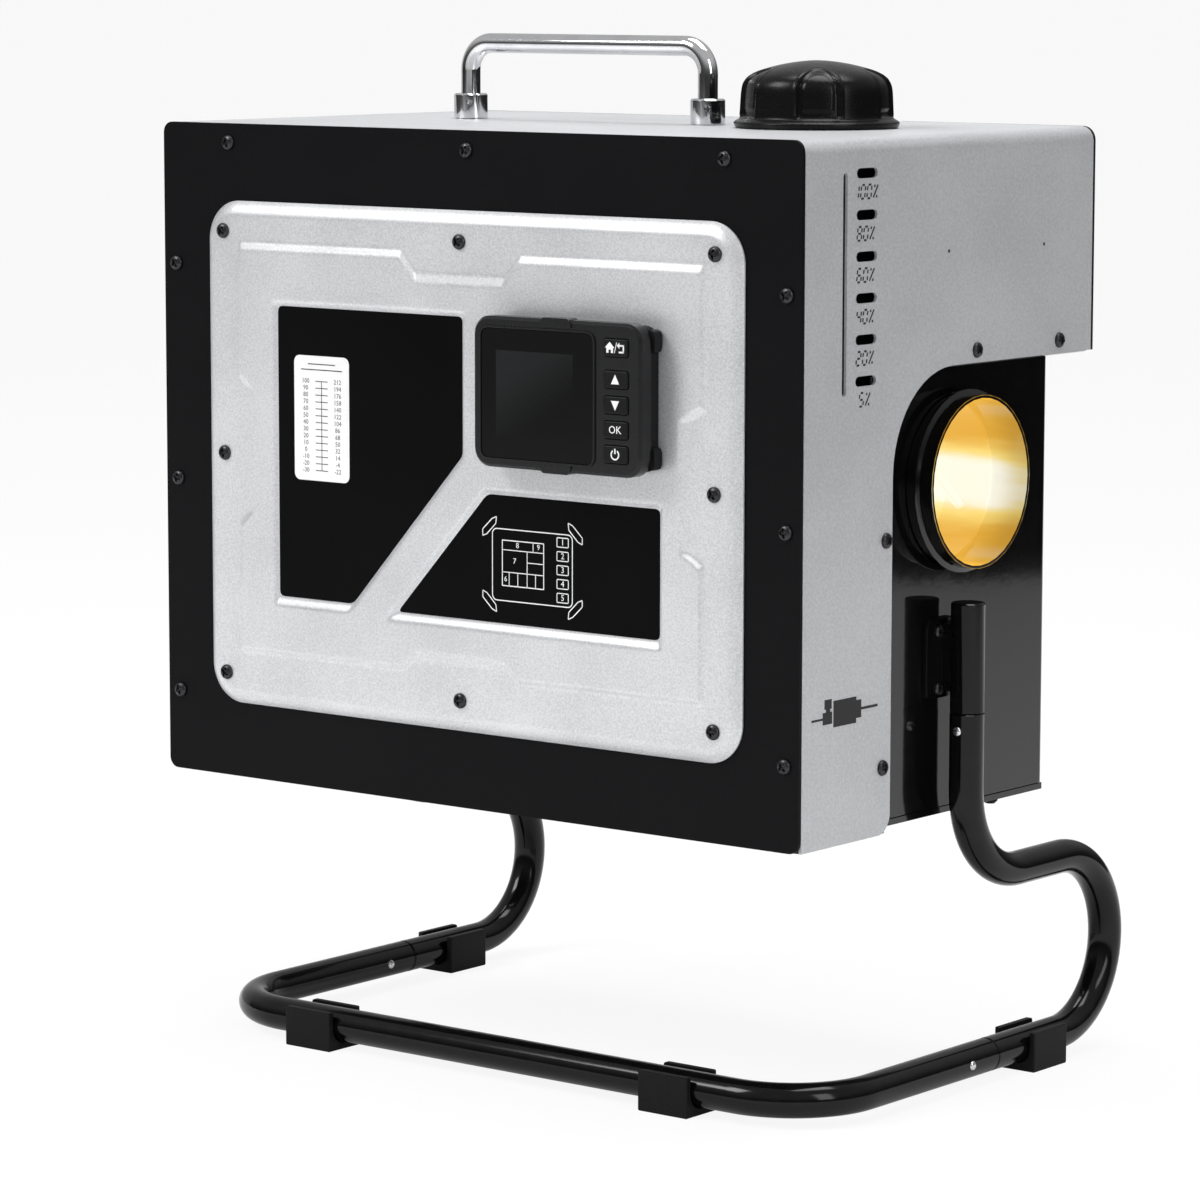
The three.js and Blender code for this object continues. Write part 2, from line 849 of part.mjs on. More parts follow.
function capProfile(shrink) {
  const r = capWidth / 2 - shrink;
  const top = capHeight - shrink;
  return [
    [0, 4],
    [r, 4],
    [r - 0.9, top - 13.5],
    [r - 3.4, top - 8.6],
    [r - 8, top - 5.6],
    [r - 19, top - 1.8],
    [0, top],
  ];
}

// Five arched grip recesses follow the domed side down to the flange.
function fuelCap() {
  const flange = [
    [0, gap],
    [capFlangeWidth / 2 - 0.5, gap],
    [capFlangeWidth / 2, 2.4],
    [capFlangeWidth / 2 - 1.4, 4],
    [capWidth / 2 - 1, 5],
    [0, 5],
  ];
  const grip = new THREE.Shape();
  const half = capGripWidth / 2;
  grip.moveTo(-half, 5);
  grip.lineTo(half, 5);
  grip.lineTo(half, capGripTop - half);
  grip.absarc(0, capGripTop - half, half, 0, 2 * quarter, false);
  grip.closePath();
  let shell = revolveZ(capProfile(0), 0, 0, 30);
  for (let k = 0; k < capGrips; k++) {
    const turn = ((capGripTurn + (360 / capGrips) * k) * Math.PI) / 180;
    const tool = prismGeometry(grip, 18, 60, 3).applyMatrix4(facingX).rotateZ(turn);
    shell = shell.subtract(solid(tool));
  }
  const core = revolveZ(capProfile(capGripDepth), 0, 0, 20);
  const cavity = revolveZ(rod(neckWidth / 2 + threadRoom, -1, capCeiling), 0, 0, 24);
  const cap = cut(join(revolveZ(flange, 0, 0, 30), core, shell), cavity);
  const placed = geometryOf(cap).translate(capX, capY, caseHeight);
  return solid(placed);
}

const capCeiling = neckRise + gap + sealThick + gap;

function capSeal() {
  const from = caseHeight + neckRise + gap;
  return revolveZ(sleeve(neckWidth / 2 - 0.5, neckWidth / 2 - 7, from, from + sealThick), capX, capY, 24);
}

// ---- control unit ----

const keyHeights = () => Object.values(keyDrops).map((drop) => unitTop - drop);

function unitCase() {
  const outline = roundRect(unitLeft, unitBottom, unitRight, unitTop, unitCorner);
  const inner = roundRect(
    unitLeft + unitWall,
    unitBottom + unitWall,
    unitRight - unitWall,
    unitTop - unitWall,
    unitCorner - unitWall,
  );
  const back = unitSplit - gap;
  const shell = roundedPlate(outline, back, unitFront, 1.4, 1, 3);
  const rimOuter = roundRect(
    lensLeft - lensRim,
    lensBottom - lensRim,
    lensRight + lensRim,
    lensTop + lensRim,
    5,
  );
  const rim = prismY(rimOuter, unitFront - 0.7, unitFront + 1, 2);
  const lensSeat = roundRect(lensLeft - gap, lensBottom - gap, lensRight + gap, lensTop + gap, 4);
  const window = centredRect(...lensMiddle, 50, 43, 1);
  const middle = (unitLeft + unitRight) / 2;
  const keys = keyHeights().map((z) => {
    const hole = centredRect(keyX, z, keyWidth + 2 * slideFit, keyHeight + 2 * slideFit, keyCorner);
    return prismY(hole, unitFront - 3, unitFront + unitWall + 1, 1);
  });
  return cut(
    join(shell, rim, unitClip(middle, unitTop, 1), unitClip(middle, unitBottom, -1)),
    prismY(inner, unitFront + unitWall, back + 1, 2),
    prismY(lensSeat, unitFront - 3, unitFront + lensThick, 2),
    prismY(window, unitFront - 3, back + 1, 1),
    ...keys,
  );
}

// A tapered latch tab on the case's edge.
function unitClip(x, z, side) {
  const tab = easedPolygon(
    [
      [x - 10, z - side * 3.5],
      [x - 8, z + side * 0.8],
      [x + 8, z + side * 0.8],
      [x + 10, z - side * 3.5],
    ],
    0.8,
  );
  return prismY(tab, unitFront - 0.7, unitSplit - 2, 1);
}

function unitCradle() {
  const left = unitLeft + cradleInset;
  const right = unitRight - cradleInset;
  const bottom = unitBottom + cradleInset;
  const top = unitTop - cradleInset;
  const body = prismY(
    roundRect(left, bottom, right, top, unitCorner - cradleInset),
    unitSplit,
    plateauY - gap,
    3,
  );
  const bumpers = [];
  for (const x of [left, right]) {
    for (const z of [bottom, top]) {
      const inward = z === top ? -1 : 1;
      const centre = [x, z + inward * 7];
      const shape = centredRect(...centre, 2 * bumperReach, 11, 2.6);
      bumpers.push(prismY(shape, unitSplit + 0.6, plateauY - gap - 1, 1));
    }
  }
  const pocket = centredRect((left + right) / 2, (bottom + top) / 2, 60, 40, 4);
  return cut(join(body, ...bumpers), prismY(pocket, unitSplit - 1, plateauY - 2, 1));
}

function unitLens() {
  const shape = roundRect(lensLeft, lensBottom, lensRight, lensTop, 3.7);
  return prismY(shape, unitFront - 0.2, unitFront + lensThick - gap, 2);
}

// The board carries the display on four posts and a switch behind each key.
function unitBoard() {
  const back = unitSplit - gap;
  const inset = unitWall + 0.6;
  const shape = roundRect(
    unitLeft + inset,
    unitBottom + inset,
    unitRight - inset,
    unitTop - inset,
    unitCorner - inset,
  );
  const board = prismY(shape, back - 1.8, back - 0.3, 2);
  const switches = keyHeights().map((z) =>
    box(keyX - 3, keyX + 3, switchFace, back - 1.7, z - 3, z + 3),
  );
  const displayFace = unitFront + lensThick + gap;
  const display = prismY(centredRect(...lensMiddle, 49, 42, 0.8), displayFace, displayFace + 2.4, 1);
  const posts = [];
  const [x, z] = lensMiddle;
  for (const dx of [-21, 21]) {
    for (const dz of [-17, 17]) {
      posts.push(revolveY(rod(1.5, displayFace + 2, back - 1.7), x + dx, z + dz, 8));
    }
  }
  return join(board, display, ...posts, ...switches);
}

// Each key is held by a collar behind the front wall and presses a switch.
function unitKey(z) {
  const face = centredRect(keyX, z, keyWidth, keyHeight, keyCorner - slideFit);
  const collar = centredRect(keyX, z, keyWidth + 1.8, keyHeight + 1.8, keyCorner);
  const wallBack = unitFront + unitWall;
  const head = roundedPlate(face, wallBack + 0.8, unitFront - keyRise, 0.4, 1, 1);
  const flange = prismY(collar, wallBack + gap, wallBack + 0.9, 1);
  return join(head, flange);
}

// ---- warm air path ----

function outletDuct() {
  const outer = ductWidth / 2;
  const inner = outer - ductWall;
  const start = casingRight + gap;
  const bead = rimX - ductBeadBack;
  const profile = [
    [inner, start],
    [outer + 6, start],
    [outer + 6, start + 2],
    [outer, start + 2],
    [outer, bead - 1.6],
    [outer + ductBead, bead - 0.6],
    [outer + ductBead, bead + 0.6],
    [outer, bead + 1.6],
    [outer, rimX],
    [inner, rimX],
    [inner, start],
  ];
  return revolveX(profile, airY, airZ, 36);
}

// A cone behind the duct's mouth, with the overheat probe reaching in from its wall.
function outletNozzle() {
  const outer = ductWidth / 2 - ductWall - gap;
  const left = casingRight + 1;
  const profile = [
    [outer - 9, left],
    [outer, left + 8],
    [outer, rimX - nozzleBack],
    [outer - 1.5, rimX - nozzleBack],
    [outer - 1.5, left + 8.6],
    [outer - 10.5, left],
    [outer - 9, left],
  ];
  const probeX = rimX - nozzleBack - 8;
  const probe = [
    [probeX, airY - 27.5, airZ + 28.5],
    [probeX, airY - 8, airZ + 11],
    [probeX + 4, airY + 18, airZ - 15],
  ];
  return join(revolveX(profile, airY, airZ, 24), sweep(disc(0, 0, 2.2), probe, 8, 2, 4));
}

function casingOutline(inset, drop = 0) {
  const width = casingWidth - 2 * inset;
  const height = casingHeight - 2 * inset;
  return centredRect(airY, airZ + drop, width, height, casingCorner - inset);
}

function casingHalf(side) {
  const outer = prismX(casingOutline(0), casingLeft, casingRight, 3);
  const inner = prismX(casingOutline(casingWall), casingLeft - 1, casingRight - casingWall, 3);
  const mouth = prismX(disc(airY, airZ, ductWidth / 2 - ductWall), casingRight - 5, casingRight + 1, 12);
  const shell = cut(outer, inner, mouth, fuelEntry(hoseWidth / 2 + 0.5), glowPlugHole(), exhaustHoles());
  const seam = airZ + (side * gap) / 2;
  const far = airZ + side * casingHeight;
  const low = Math.min(seam, far);
  const high = Math.max(seam, far);
  return shell.intersect(box(casingLeft - 1, casingRight + 1, 0, caseDepth, low, high));
}

function fuelEntry(radius) {
  return revolveY(rod(radius, airY - casingWidth, airY - 20), burnerX, fuelEntryZ, 12);
}

function glowPlugHole() {
  return revolveZ(rod(6.4, airZ + 30, airZ + casingHeight), burnerX, airY, 12);
}

function exhaustHoles() {
  const hole = (width, x) => {
    return revolveZ(rod(width / 2 + 1, airZ - casingHeight, airZ - 45), x, airY, 12);
  };
  return hole(exhaustPipeWidth, exhaustX).add(hole(airPipeWidth, airStubX));
}

function motorShaft() {
  const left = casingLeft + 4;
  const right = housingLeft + 16;
  return revolveX(rod(shaftWidth / 2, left, right), airY, airZ, 10);
}

// Pitched blades on a domed hub.
function warmAirFan() {
  const left = casingLeft + 6;
  const hub = [
    [shaftWidth / 2 + gap, left + 2],
    [6, left],
    [12, left + 3],
    [14, left + 18],
    [shaftWidth / 2 + gap, left + 18],
    [shaftWidth / 2 + gap, left + 2],
  ];
  const bladeLength = fanWidth / 2 - 12;
  let fan = revolveX(hub, airY, airZ, 14);
  for (let k = 0; k < fanBlades; k++) {
    const blade = new THREE.BoxGeometry(17, 1.6, bladeLength)
      .rotateZ(0.75)
      .translate(0, 0, 12 + bladeLength / 2)
      .rotateX((2 * Math.PI * k) / fanBlades)
      .translate(left + 10, airY, airZ);
    fan = fan.add(solid(blade));
  }
  return fan;
}

// A shrouded radial wheel inside the burner's air housing.
function combustionFan() {
  const left = housingLeft + 3;
  const bore = shaftWidth / 2 + gap;
  const plate = sleeve(wheelWidth / 2, bore, left, left + 1.6);
  const hub = sleeve(9, bore, left + 1, left + 11);
  let wheel = join(revolveX(plate, airY, airZ, 18), revolveX(hub, airY, airZ, 10));
  for (let k = 0; k < wheelVanes; k++) {
    const length = wheelWidth / 2 - 16;
    const vane = new THREE.BoxGeometry(8.5, 1.4, length)
      .translate(0, 0, 15 + length / 2)
      .rotateX((2 * Math.PI * k) / wheelVanes)
      .translate(left + 5.5, airY, airZ);
    wheel = wheel.add(solid(vane));
  }
  return wheel;
}

// The motor hangs in the air stream on four arms.
function blowerMotor() {
  const r = motorWidth / 2;
  const bore = shaftWidth / 2 + gap;
  const profile = [
    [bore, motorLeft],
    [r - 8, motorLeft],
    [r, motorLeft + 6],
    [r, motorRight - 3],
    [r - 3, motorRight],
    [bore, motorRight],
    [bore, motorLeft],
  ];
  const reachY = casingWidth / 2 - casingWall - gap;
  const reachZ = casingHeight / 2 - casingWall - gap;
  const middle = (motorLeft + motorRight) / 2;
  const barY = box(middle - 5, middle + 5, airY - reachY, airY + reachY, airZ - 2, airZ + 2);
  const barZ = box(middle - 5, middle + 5, airY - 2, airY + 2, airZ - reachZ, airZ + reachZ);
  const keepOut = revolveX(rod(r - 4, motorLeft - 5, motorRight + 5), airY, airZ, 16);
  const arms = cut(join(barY, barZ), keepOut);
  return join(revolveX(profile, airY, airZ, 14), arms);
}

// The burner: an air housing on two lugs, with the flame tube welded to its face.
function burner() {
  const wheelRoom = wheelWidth / 2 + 2.5;
  const outer = wheelRoom + 5;
  const housing = [
    [12, housingLeft],
    [outer - 4, housingLeft],
    [outer, housingLeft + 4],
    [outer, housingRight - 6],
    [14, housingRight],
    [14, housingLeft + 18],
    [wheelRoom, housingLeft + 18],
    [wheelRoom, housingLeft + 2],
    [12, housingLeft + 2],
    [12, housingLeft],
  ];
  const lugs = [-1, 1].map((side) => {
    const y = airY + side * (casingWidth / 2 - casingWall - gap);
    const inner = airY + side * (outer - 3);
    return box(housingRight - 16, housingRight - 8, Math.min(y, inner), Math.max(y, inner), airZ - 8, airZ + 8);
  });
  const plugBore = revolveZ(rod(5.2, airZ + 10, airZ + casingHeight), burnerX, airY, 10);
  const fuelBore = revolveY(rod(2.2, airY - casingWidth, airY - 10), burnerX, fuelEntryZ, 8);
  const stub = pipeStub(airPipeWidth, airStubX, airZ - wheelRoom - 2);
  const stubBore = pipeStubBore(airPipeWidth, airStubX, airZ - wheelRoom + 5);
  const body = cut(join(revolveX(housing, airY, airZ, 14), ...lugs, stub), plugBore, fuelBore, stubBore);
  const tube = sleeve(25, 22.5, housingRight - 4, housingRight + flameTubeLength);
  const collar = sleeve(33, 24, housingRight - 3, housingRight + 3);
  return join(body, revolveX(tube, airY, airZ, 12), revolveX(collar, airY, airZ, 12));
}

// Cooling fins run the length of the fire chamber inside the warm air casing.
function heatExchanger() {
  const left = housingRight + 4;
  const coreRadius = exchangerCore / 2;
  const fire = [
    [30, left],
    [coreRadius, left],
    [coreRadius, exchangerRight - 6],
    [coreRadius - 6, exchangerRight],
    [0, exchangerRight],
    [0, exchangerRight - 8],
    [30, exchangerRight - 8],
    [30, left],
  ];
  const start = left + 8;
  const inset = casingWall + gap;
  const end = casingRight - casingWall - 1;
  const envelope = prismX(casingOutline(inset), start, end, 1);
  const pitch = (casingHeight - 2 * inset - 6) / (exchangerFins - 1);
  let fins = box(start, exchangerRight - 6, airY - 1.6, airY + 1.6, 0, caseHeight);
  for (let k = 0; k < exchangerFins; k++) {
    const z = airZ + (k - (exchangerFins - 1) / 2) * pitch;
    fins = fins.add(box(start, end, 0, caseDepth, z - finThick / 2, z + finThick / 2));
  }
  const chamber = revolveX(rod(31, left - 1, exchangerRight - 8), airY, airZ, 16);
  const core = revolveX(fire, airY, airZ, 16);
  const stub = pipeStub(exhaustPipeWidth, exhaustX, airZ - coreRadius + 3);
  const stubBore = pipeStubBore(exhaustPipeWidth, exhaustX, airZ - coreRadius + 10);
  return cut(join(core, cut(fins.intersect(envelope), chamber), stub), stubBore);
}

function glowPlug() {
  const tip = airZ + 14;
  const profile = [
    [0, tip],
    [2, tip],
    [2, tip + 14],
    [4.8, tip + 16],
    [4.8, airZ + 44],
    [6, airZ + 44.5],
    [6, airZ + 50],
    [2.4, airZ + 50],
    [2.4, airZ + 55],
    [0, airZ + 55],
  ];
  return revolveZ(profile, burnerX, airY, 12);
}

// Wire guard over the air intake: rings on spokes.
function intakeGuard() {
  const right = bodyLeft - gap;
  const left = right - 3;
  const outer = guardWidth / 2;
  let guard = revolveX(sleeve(outer, outer - 7, left, right), airY, airZ, 20);
  guard = guard.add(revolveX(sleeve(29, 26.8, left, right), airY, airZ, 12));
  guard = guard.add(revolveX(rod(12, left, right), airY, airZ, 12));
  for (let k = 0; k < 3; k++) {
    const spoke = new THREE.BoxGeometry(2.2, 2.6, 2 * outer - 6)
      .rotateX((Math.PI * k) / 3)
      .translate(right - 1.2, airY, airZ);
    guard = guard.add(solid(spoke));
  }
  return guard;
}

function pipe(width, corners, radius) {
  return sweep(tubeSection(width / 2, width / 2 - pipeWall), corners, radius, 2, 4);
}

// The two pipes slip over stubs under the exchanger and the burner's housing.
function exhaustPipe() {
  const corners = [
    [exhaustX, airY, pipeTop],
    [exhaustX, airY, pipeZ],
    [exhaustX, bodyRear + 16, pipeZ],
  ];
  return pipe(exhaustPipeWidth, corners, 24);
}

function airInletPipe() {
  const corners = [
    [airStubX, airY, pipeTop],
    [airStubX, airY, pipeZ],
    [airStubX, airY + 36, pipeZ],
    [airInletX, airY + 60, pipeZ],
    [airInletX, bodyRear + 16, pipeZ],
  ];
  return pipe(airPipeWidth, corners, 16);
}

const stubWidth = (pipeWidth) => pipeWidth - 2 * pipeWall - 2 * gap;

function pipeStub(pipeWidth, x, top) {
  return revolveZ(rod(stubWidth(pipeWidth) / 2, pipeTop - 14, top), x, airY, 10);
}

function pipeStubBore(pipeWidth, x, top) {
  return revolveZ(rod(stubWidth(pipeWidth) / 2 - 2, pipeTop - 15, top), x, airY, 8);
}

function powerSocket() {
  const face = bodyRear + gap;
  const profile = [
    [4, face + 4],
    [4, face - 14],
    [8, face - 14],
    [8, face],
    [11.5, face],
    [11.5, face + 2.4],
    [9.4, face + 4],
    [4, face + 4],
  ];
  const pin = rod(1.5, face - 13, face + 2.5);
  const back = rod(4.6, face - 13.9, face - 11);
  return join(
    revolveY(profile, socketX, socketZ, 12),
    revolveY(back, socketX, socketZ, 12),
    revolveY(pin, socketX, socketZ, 8),
  );
}

function controlBoard() {
  const standoff = plateThick + gap;
  const face = standoff + 12;
  const [x, z] = [boardLeft, boardBottom];
  const board = box(x, x + boardWidth, face, face + 1.6, z, z + boardHeight);
  const posts = [];
  for (const dx of [4, boardWidth - 4]) {
    for (const dz of [4, boardHeight - 4]) {
      posts.push(revolveY(rod(3, standoff, face + 0.5), x + dx, z + dz, 8));
    }
  }
  const parts = [
    box(x + 10, x + 38, face + 1, face + 12, z + 48, z + 76),
    box(x + 46, x + 62, face + 1, face + 15, z + 52, z + 72),
    box(x + 70, x + 88, face + 1, face + 9, z + 16, z + 40),
    box(x + 12, x + 52, face + 1, face + 10, z + 8, z + 18),
  ];
  return join(board, ...posts, ...parts);
}

// ---- fuel pump and line ----

function fuelPump() {
  const barb = barbWidth / 2;
  const profile = [
    [1.1, pumpLeft - barbLength],
    [barb, pumpLeft - barbLength],
    [barb, pumpLeft],
    [7.5, pumpLeft],
    [7.5, pumpLeft + 8],
    [pumpWidth / 2, pumpLeft + 9],
    [pumpWidth / 2, pumpRight - 9],
    [8.5, pumpRight - 8],
    [8.5, pumpRight],
    [barb, pumpRight],
    [barb, pumpRight + barbLength],
    [1.1, pumpRight + barbLength],
    [1.1, plungerRight + plungerTravel + 1],
    [plungerWidth / 2 + slideFit, plungerRight + plungerTravel + 1],
    [plungerWidth / 2 + slideFit, plungerRight - plungerLength - 1],
    [1.1, plungerRight - plungerLength - 1],
    [1.1, pumpLeft - barbLength],
  ];
  return revolveX(profile, pumpY, pumpZ, 12);
}

function pumpPlunger() {
  return revolveX(rod(plungerWidth / 2, plungerRight - plungerLength, plungerRight), pumpY, pumpZ, 10);
}

function pumpBracket() {
  const middle = (pumpLeft + pumpRight) / 2;
  const inner = pumpWidth / 2 + 2 * gap;
  const base = trayFloor + gap;
  const clip = revolveX(sleeve(inner + 3, inner, middle - 9, middle + 9), pumpY, pumpZ, 14);
  const stem = box(middle - 9, middle + 9, pumpY - 2, pumpY + 2, base, pumpZ - inner - 1);
  const foot = box(middle - 9, middle + 9, pumpY - 14, pumpY + 14, base, base + 2.5);
  return join(clip, stem, foot);
}

function fuelFilter() {
  const r = filterWidth / 2;
  const barb = barbWidth / 2;
  const profile = [
    [0, filterBottom - barbLength],
    [barb, filterBottom - barbLength],
    [barb, filterBottom],
    [r - 4, filterBottom + 2],
    [r, filterBottom + 8],
    [r, filterTop - 8],
    [r - 4, filterTop - 2],
    [barb, filterTop],
    [barb, filterTop + barbLength - gap],
    [0, filterTop + barbLength - gap],
  ];
  return revolveZ(profile, filterX, pumpY, 12);
}

const hoseSection = tubeSection(hoseWidth / 2, hoseBore / 2, 6);

function tankHose() {
  const corners = [[filterX, pumpY, filterTop + 1.5], [filterX, pumpY, sumpFloor - 1]];
  return sweep(hoseSection, corners, 10, 3, 3);
}

function pumpHose() {
  const corners = [
    [filterX, pumpY, filterBottom - 1],
    [filterX, pumpY, pumpZ],
    [pumpRight + 1, pumpY, pumpZ],
  ];
  return sweep(hoseSection, corners, 8, 3, 3);
}

function burnerHose() {
  const corners = [
    [pumpLeft - 1, pumpY, pumpZ],
    [burnerX, pumpY, pumpZ],
    [burnerX, pumpY, fuelEntryZ],
    [burnerX, airY - wheelWidth / 2 - 10, fuelEntryZ],
  ];
  return sweep(hoseSection, corners, 14, 3, 3);
}

// ---- stand ----

const railX = (side) => standMiddle + side * railReach;

// The socket is welded to a plate on the body's side. Its reduced end plugs into the leg.
function standBracket(side) {
  const wall = standMiddle + side * ((bodyRight - bodyLeft) / 2 + gap);
  const x = railX(side);
  const plateFace = wall + side * 2.5;
  const slab = (from, to, shape) => prismX(shape, Math.min(from, to), Math.max(from, to), 2);
  const [low, high] = [socketTop - 47, socketTop - 8];
  const plate = slab(wall, plateFace, roundRect(legY - 19.5, low, legY + 8, high, 4.5));
  const saddle = slab(plateFace - side, x, roundRect(legY - 6.5, low + 3, legY + 6.5, high - 3, 1.5));
  const r = tubeWidth / 2;
  const socket = [
    [0, socketSeam - plugLength],
    [plugWidth / 2 - 0.6, socketSeam - plugLength],
    [plugWidth / 2, socketSeam - plugLength + 1],
    [plugWidth / 2, socketSeam + gap],
    [r, socketSeam + gap],
    [r, socketTop - 0.8],
    [r - 0.8, socketTop],
    [0, socketTop],
  ];
  return join(plate, saddle, revolveZ(socket, x, legY, 16));
}

// Down from the socket, back along the shoulder, then round to the rail on the floor.
function standLeg(side) {
  const x = railX(side);
  const corners = [
    [x, legY, socketSeam],
    [x, legY, shoulderZ],
    [x, shoulderY, shoulderZ],
    [x, shoulderY, railZ],
    [x, railSeam + gap, railZ],
  ];
  const tube = sweep(tubeSection(tubeWidth / 2, tubeBore / 2), corners, tubeBend, 5, 6);
  const neck = [
    [plugWidth / 2 - tubeWall, railSeam - plugLength],
    [plugWidth / 2 - 0.4, railSeam - plugLength],
    [plugWidth / 2, railSeam - plugLength + 1],
    [plugWidth / 2, railSeam + gap],
    [tubeBore / 2 + 0.5, railSeam + gap],
    [tubeBore / 2 + 0.5, railSeam + gap + 3],
    [plugWidth / 2 - tubeWall, railSeam + gap + 3],
    [plugWidth / 2 - tubeWall, railSeam - plugLength],
  ];
  return join(tube, revolveY(neck, x, railZ, 12));
}

function standBow() {
  const corners = [
    [railX(1), railSeam, railZ],
    [railX(1), bowY, railZ],
    [railX(-1), bowY, railZ],
    [railX(-1), railSeam, railZ],
  ];
  return sweep(tubeSection(tubeWidth / 2, tubeBore / 2), corners, tubeBend, 6, 6);
}

// A rubber channel that the tube presses into from above.
function padOutline(across) {
  const seat = tubeWidth / 2 + gap;
  const outer = seat + padWall;
  const shape = new THREE.Shape();
  shape.moveTo(across - outer, -caseLift);
  shape.lineTo(across + outer, -caseLift);
  shape.lineTo(across + outer, padTop);
  shape.lineTo(across + seat, padTop);
  shape.lineTo(across + seat, railZ);
  shape.absarc(across, railZ, seat, 0, -2 * quarter, true);
  shape.lineTo(across - seat, padTop);
  shape.lineTo(across - outer, padTop);
  shape.closePath();
  return shape;
}

function frontPad(x) {
  return prismX(padOutline(bowY), x - padLength / 2, x + padLength / 2, 5);
}

function rearPad(side) {
  return prismY(padOutline(railX(side)), rearPadY - padLength / 2, rearPadY + padLength / 2, 5);
}

// ---- assembly ----

add("front_plate", frontPlate(), satinBlack);
add("front_bezel", frontBezel(), brightSilver);
add("outer_cover", outerCover(), silverPaint);
add("rear_panel", rearPanel(), satinBlack);
add("tank_shelf", tankShelf(), glossBlack);
add("body_shell", bodyShell(), glossBlack);
add("bottom_tray", bottomTray(), glossBlack);
caseFeet().forEach(([x, y], i) => add(`case_foot_${i + 1}`, caseFoot(x, y), rubber));

add("handle_bar", handleBar(), chrome);
add("handle_ferrule_left", handleFerrule(handleLeft), chrome);
add("handle_ferrule_right", handleFerrule(handleRight), chrome);

add("fuel_tank", fuelTank(), tankPlastic);
add("filler_neck", fillerNeck(), tankPlastic);
add("sight_tube", sightTube(), clearPlastic);
add("fuel_cap", fuelCap(), darkPlastic);
add("cap_seal", capSeal(), rubber);
add("fuel_filter", fuelFilter(), clearPlastic);
add("fuel_pump", fuelPump(), castAlloy);
add("pump_plunger", pumpPlunger(), steel);
add("pump_bracket", pumpBracket(), rubber);
add("tank_hose", tankHose(), rubber);
add("pump_hose", pumpHose(), rubber);
add("burner_hose", burnerHose(), rubber);

add("unit_case", unitCase(), darkPlastic);
add("unit_cradle", unitCradle(), rubber);
add("unit_lens", unitLens(), screenGlass);
add("unit_board", unitBoard(), greenBoard);
keyHeights().forEach((z, i) => add(`${Object.keys(keyDrops)[i]}_button`, unitKey(z), keyPlastic));

add("outlet_duct", outletDuct(), glossBlack);
add("outlet_nozzle", outletNozzle(), steel);
add("casing_lower", casingHalf(-1), darkPlastic);
add("casing_upper", casingHalf(1), darkPlastic);
add("heat_exchanger", heatExchanger(), castAlloy);
add("burner", burner(), steel);
add("glow_plug", glowPlug(), steel);
add("blower_motor", blowerMotor(), steel);
add("motor_shaft", motorShaft(), steel);
add("warm_air_fan", warmAirFan(), darkPlastic);
add("combustion_fan", combustionFan(), castAlloy);
add("intake_guard", intakeGuard(), satinBlack);
add("exhaust_pipe", exhaustPipe(), steel);
add("air_inlet_pipe", airInletPipe(), darkPlastic);
add("power_socket", powerSocket(), darkPlastic);
add("control_board", controlBoard(), greenBoard);

add("stand_bracket_right", standBracket(1), glossBlack);
add("stand_bracket_left", standBracket(-1), glossBlack);
add("stand_leg_right", standLeg(1), glossBlack);
add("stand_leg_left", standLeg(-1), glossBlack);
add("stand_bow", standBow(), glossBlack);
add("front_pad_left", frontPad(frontPads[0]), rubber);
add("front_pad_right", frontPad(frontPads[1]), rubber);
add("rear_pad_left", rearPad(-1), rubber);
add("rear_pad_right", rearPad(1), rubber);

// The origin is on the floor under the middle of the whole.
const extent = new THREE.Box3().setFromObject(heater);
const middle = extent.getCenter(new THREE.Vector3());
heater.position.set(-middle.x, -middle.y, caseLift);

export default heater;
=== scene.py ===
import math

import bmesh
import bpy
from mathutils import Matrix, Vector


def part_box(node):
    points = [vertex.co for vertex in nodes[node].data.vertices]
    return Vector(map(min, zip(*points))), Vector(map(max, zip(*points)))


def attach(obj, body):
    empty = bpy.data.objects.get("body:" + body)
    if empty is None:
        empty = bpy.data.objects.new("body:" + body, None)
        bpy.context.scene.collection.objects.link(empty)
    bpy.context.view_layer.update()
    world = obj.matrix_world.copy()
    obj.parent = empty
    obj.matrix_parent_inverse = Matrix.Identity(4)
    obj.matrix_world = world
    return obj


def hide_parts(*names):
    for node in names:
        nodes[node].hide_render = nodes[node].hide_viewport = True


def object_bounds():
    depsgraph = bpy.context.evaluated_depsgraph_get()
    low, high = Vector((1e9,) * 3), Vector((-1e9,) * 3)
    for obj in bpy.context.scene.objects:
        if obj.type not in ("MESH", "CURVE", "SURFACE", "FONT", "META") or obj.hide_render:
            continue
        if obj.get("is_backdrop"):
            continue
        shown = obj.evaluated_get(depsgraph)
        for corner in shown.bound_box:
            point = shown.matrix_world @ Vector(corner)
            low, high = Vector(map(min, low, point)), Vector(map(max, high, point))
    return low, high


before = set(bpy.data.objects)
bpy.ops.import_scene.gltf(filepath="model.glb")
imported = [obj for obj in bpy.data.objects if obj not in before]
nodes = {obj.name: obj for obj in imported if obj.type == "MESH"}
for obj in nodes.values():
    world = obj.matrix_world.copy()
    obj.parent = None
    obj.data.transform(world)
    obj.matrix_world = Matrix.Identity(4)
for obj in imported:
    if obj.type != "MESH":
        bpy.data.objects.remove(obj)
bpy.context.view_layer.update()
plateLow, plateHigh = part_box("front_plate")
mm = 0.001


# a place in millimetres from the case's front lower left corner
def at(x, y, z):
    return plateLow + Vector((x, y, z)) * mm


def spot(x, y, z):
    return Vector((x, y, z)) * mm


# links a wire to a socket, or sets the socket's own value
def feed(tree, socket, value):
    if isinstance(value, Wire):
        tree.links.new(value.socket, socket)
    elif hasattr(value, "__len__") and len(value) == 3 and socket.type == "RGBA":
        socket.default_value = (*value, 1)
    elif value is not None:
        socket.default_value = value


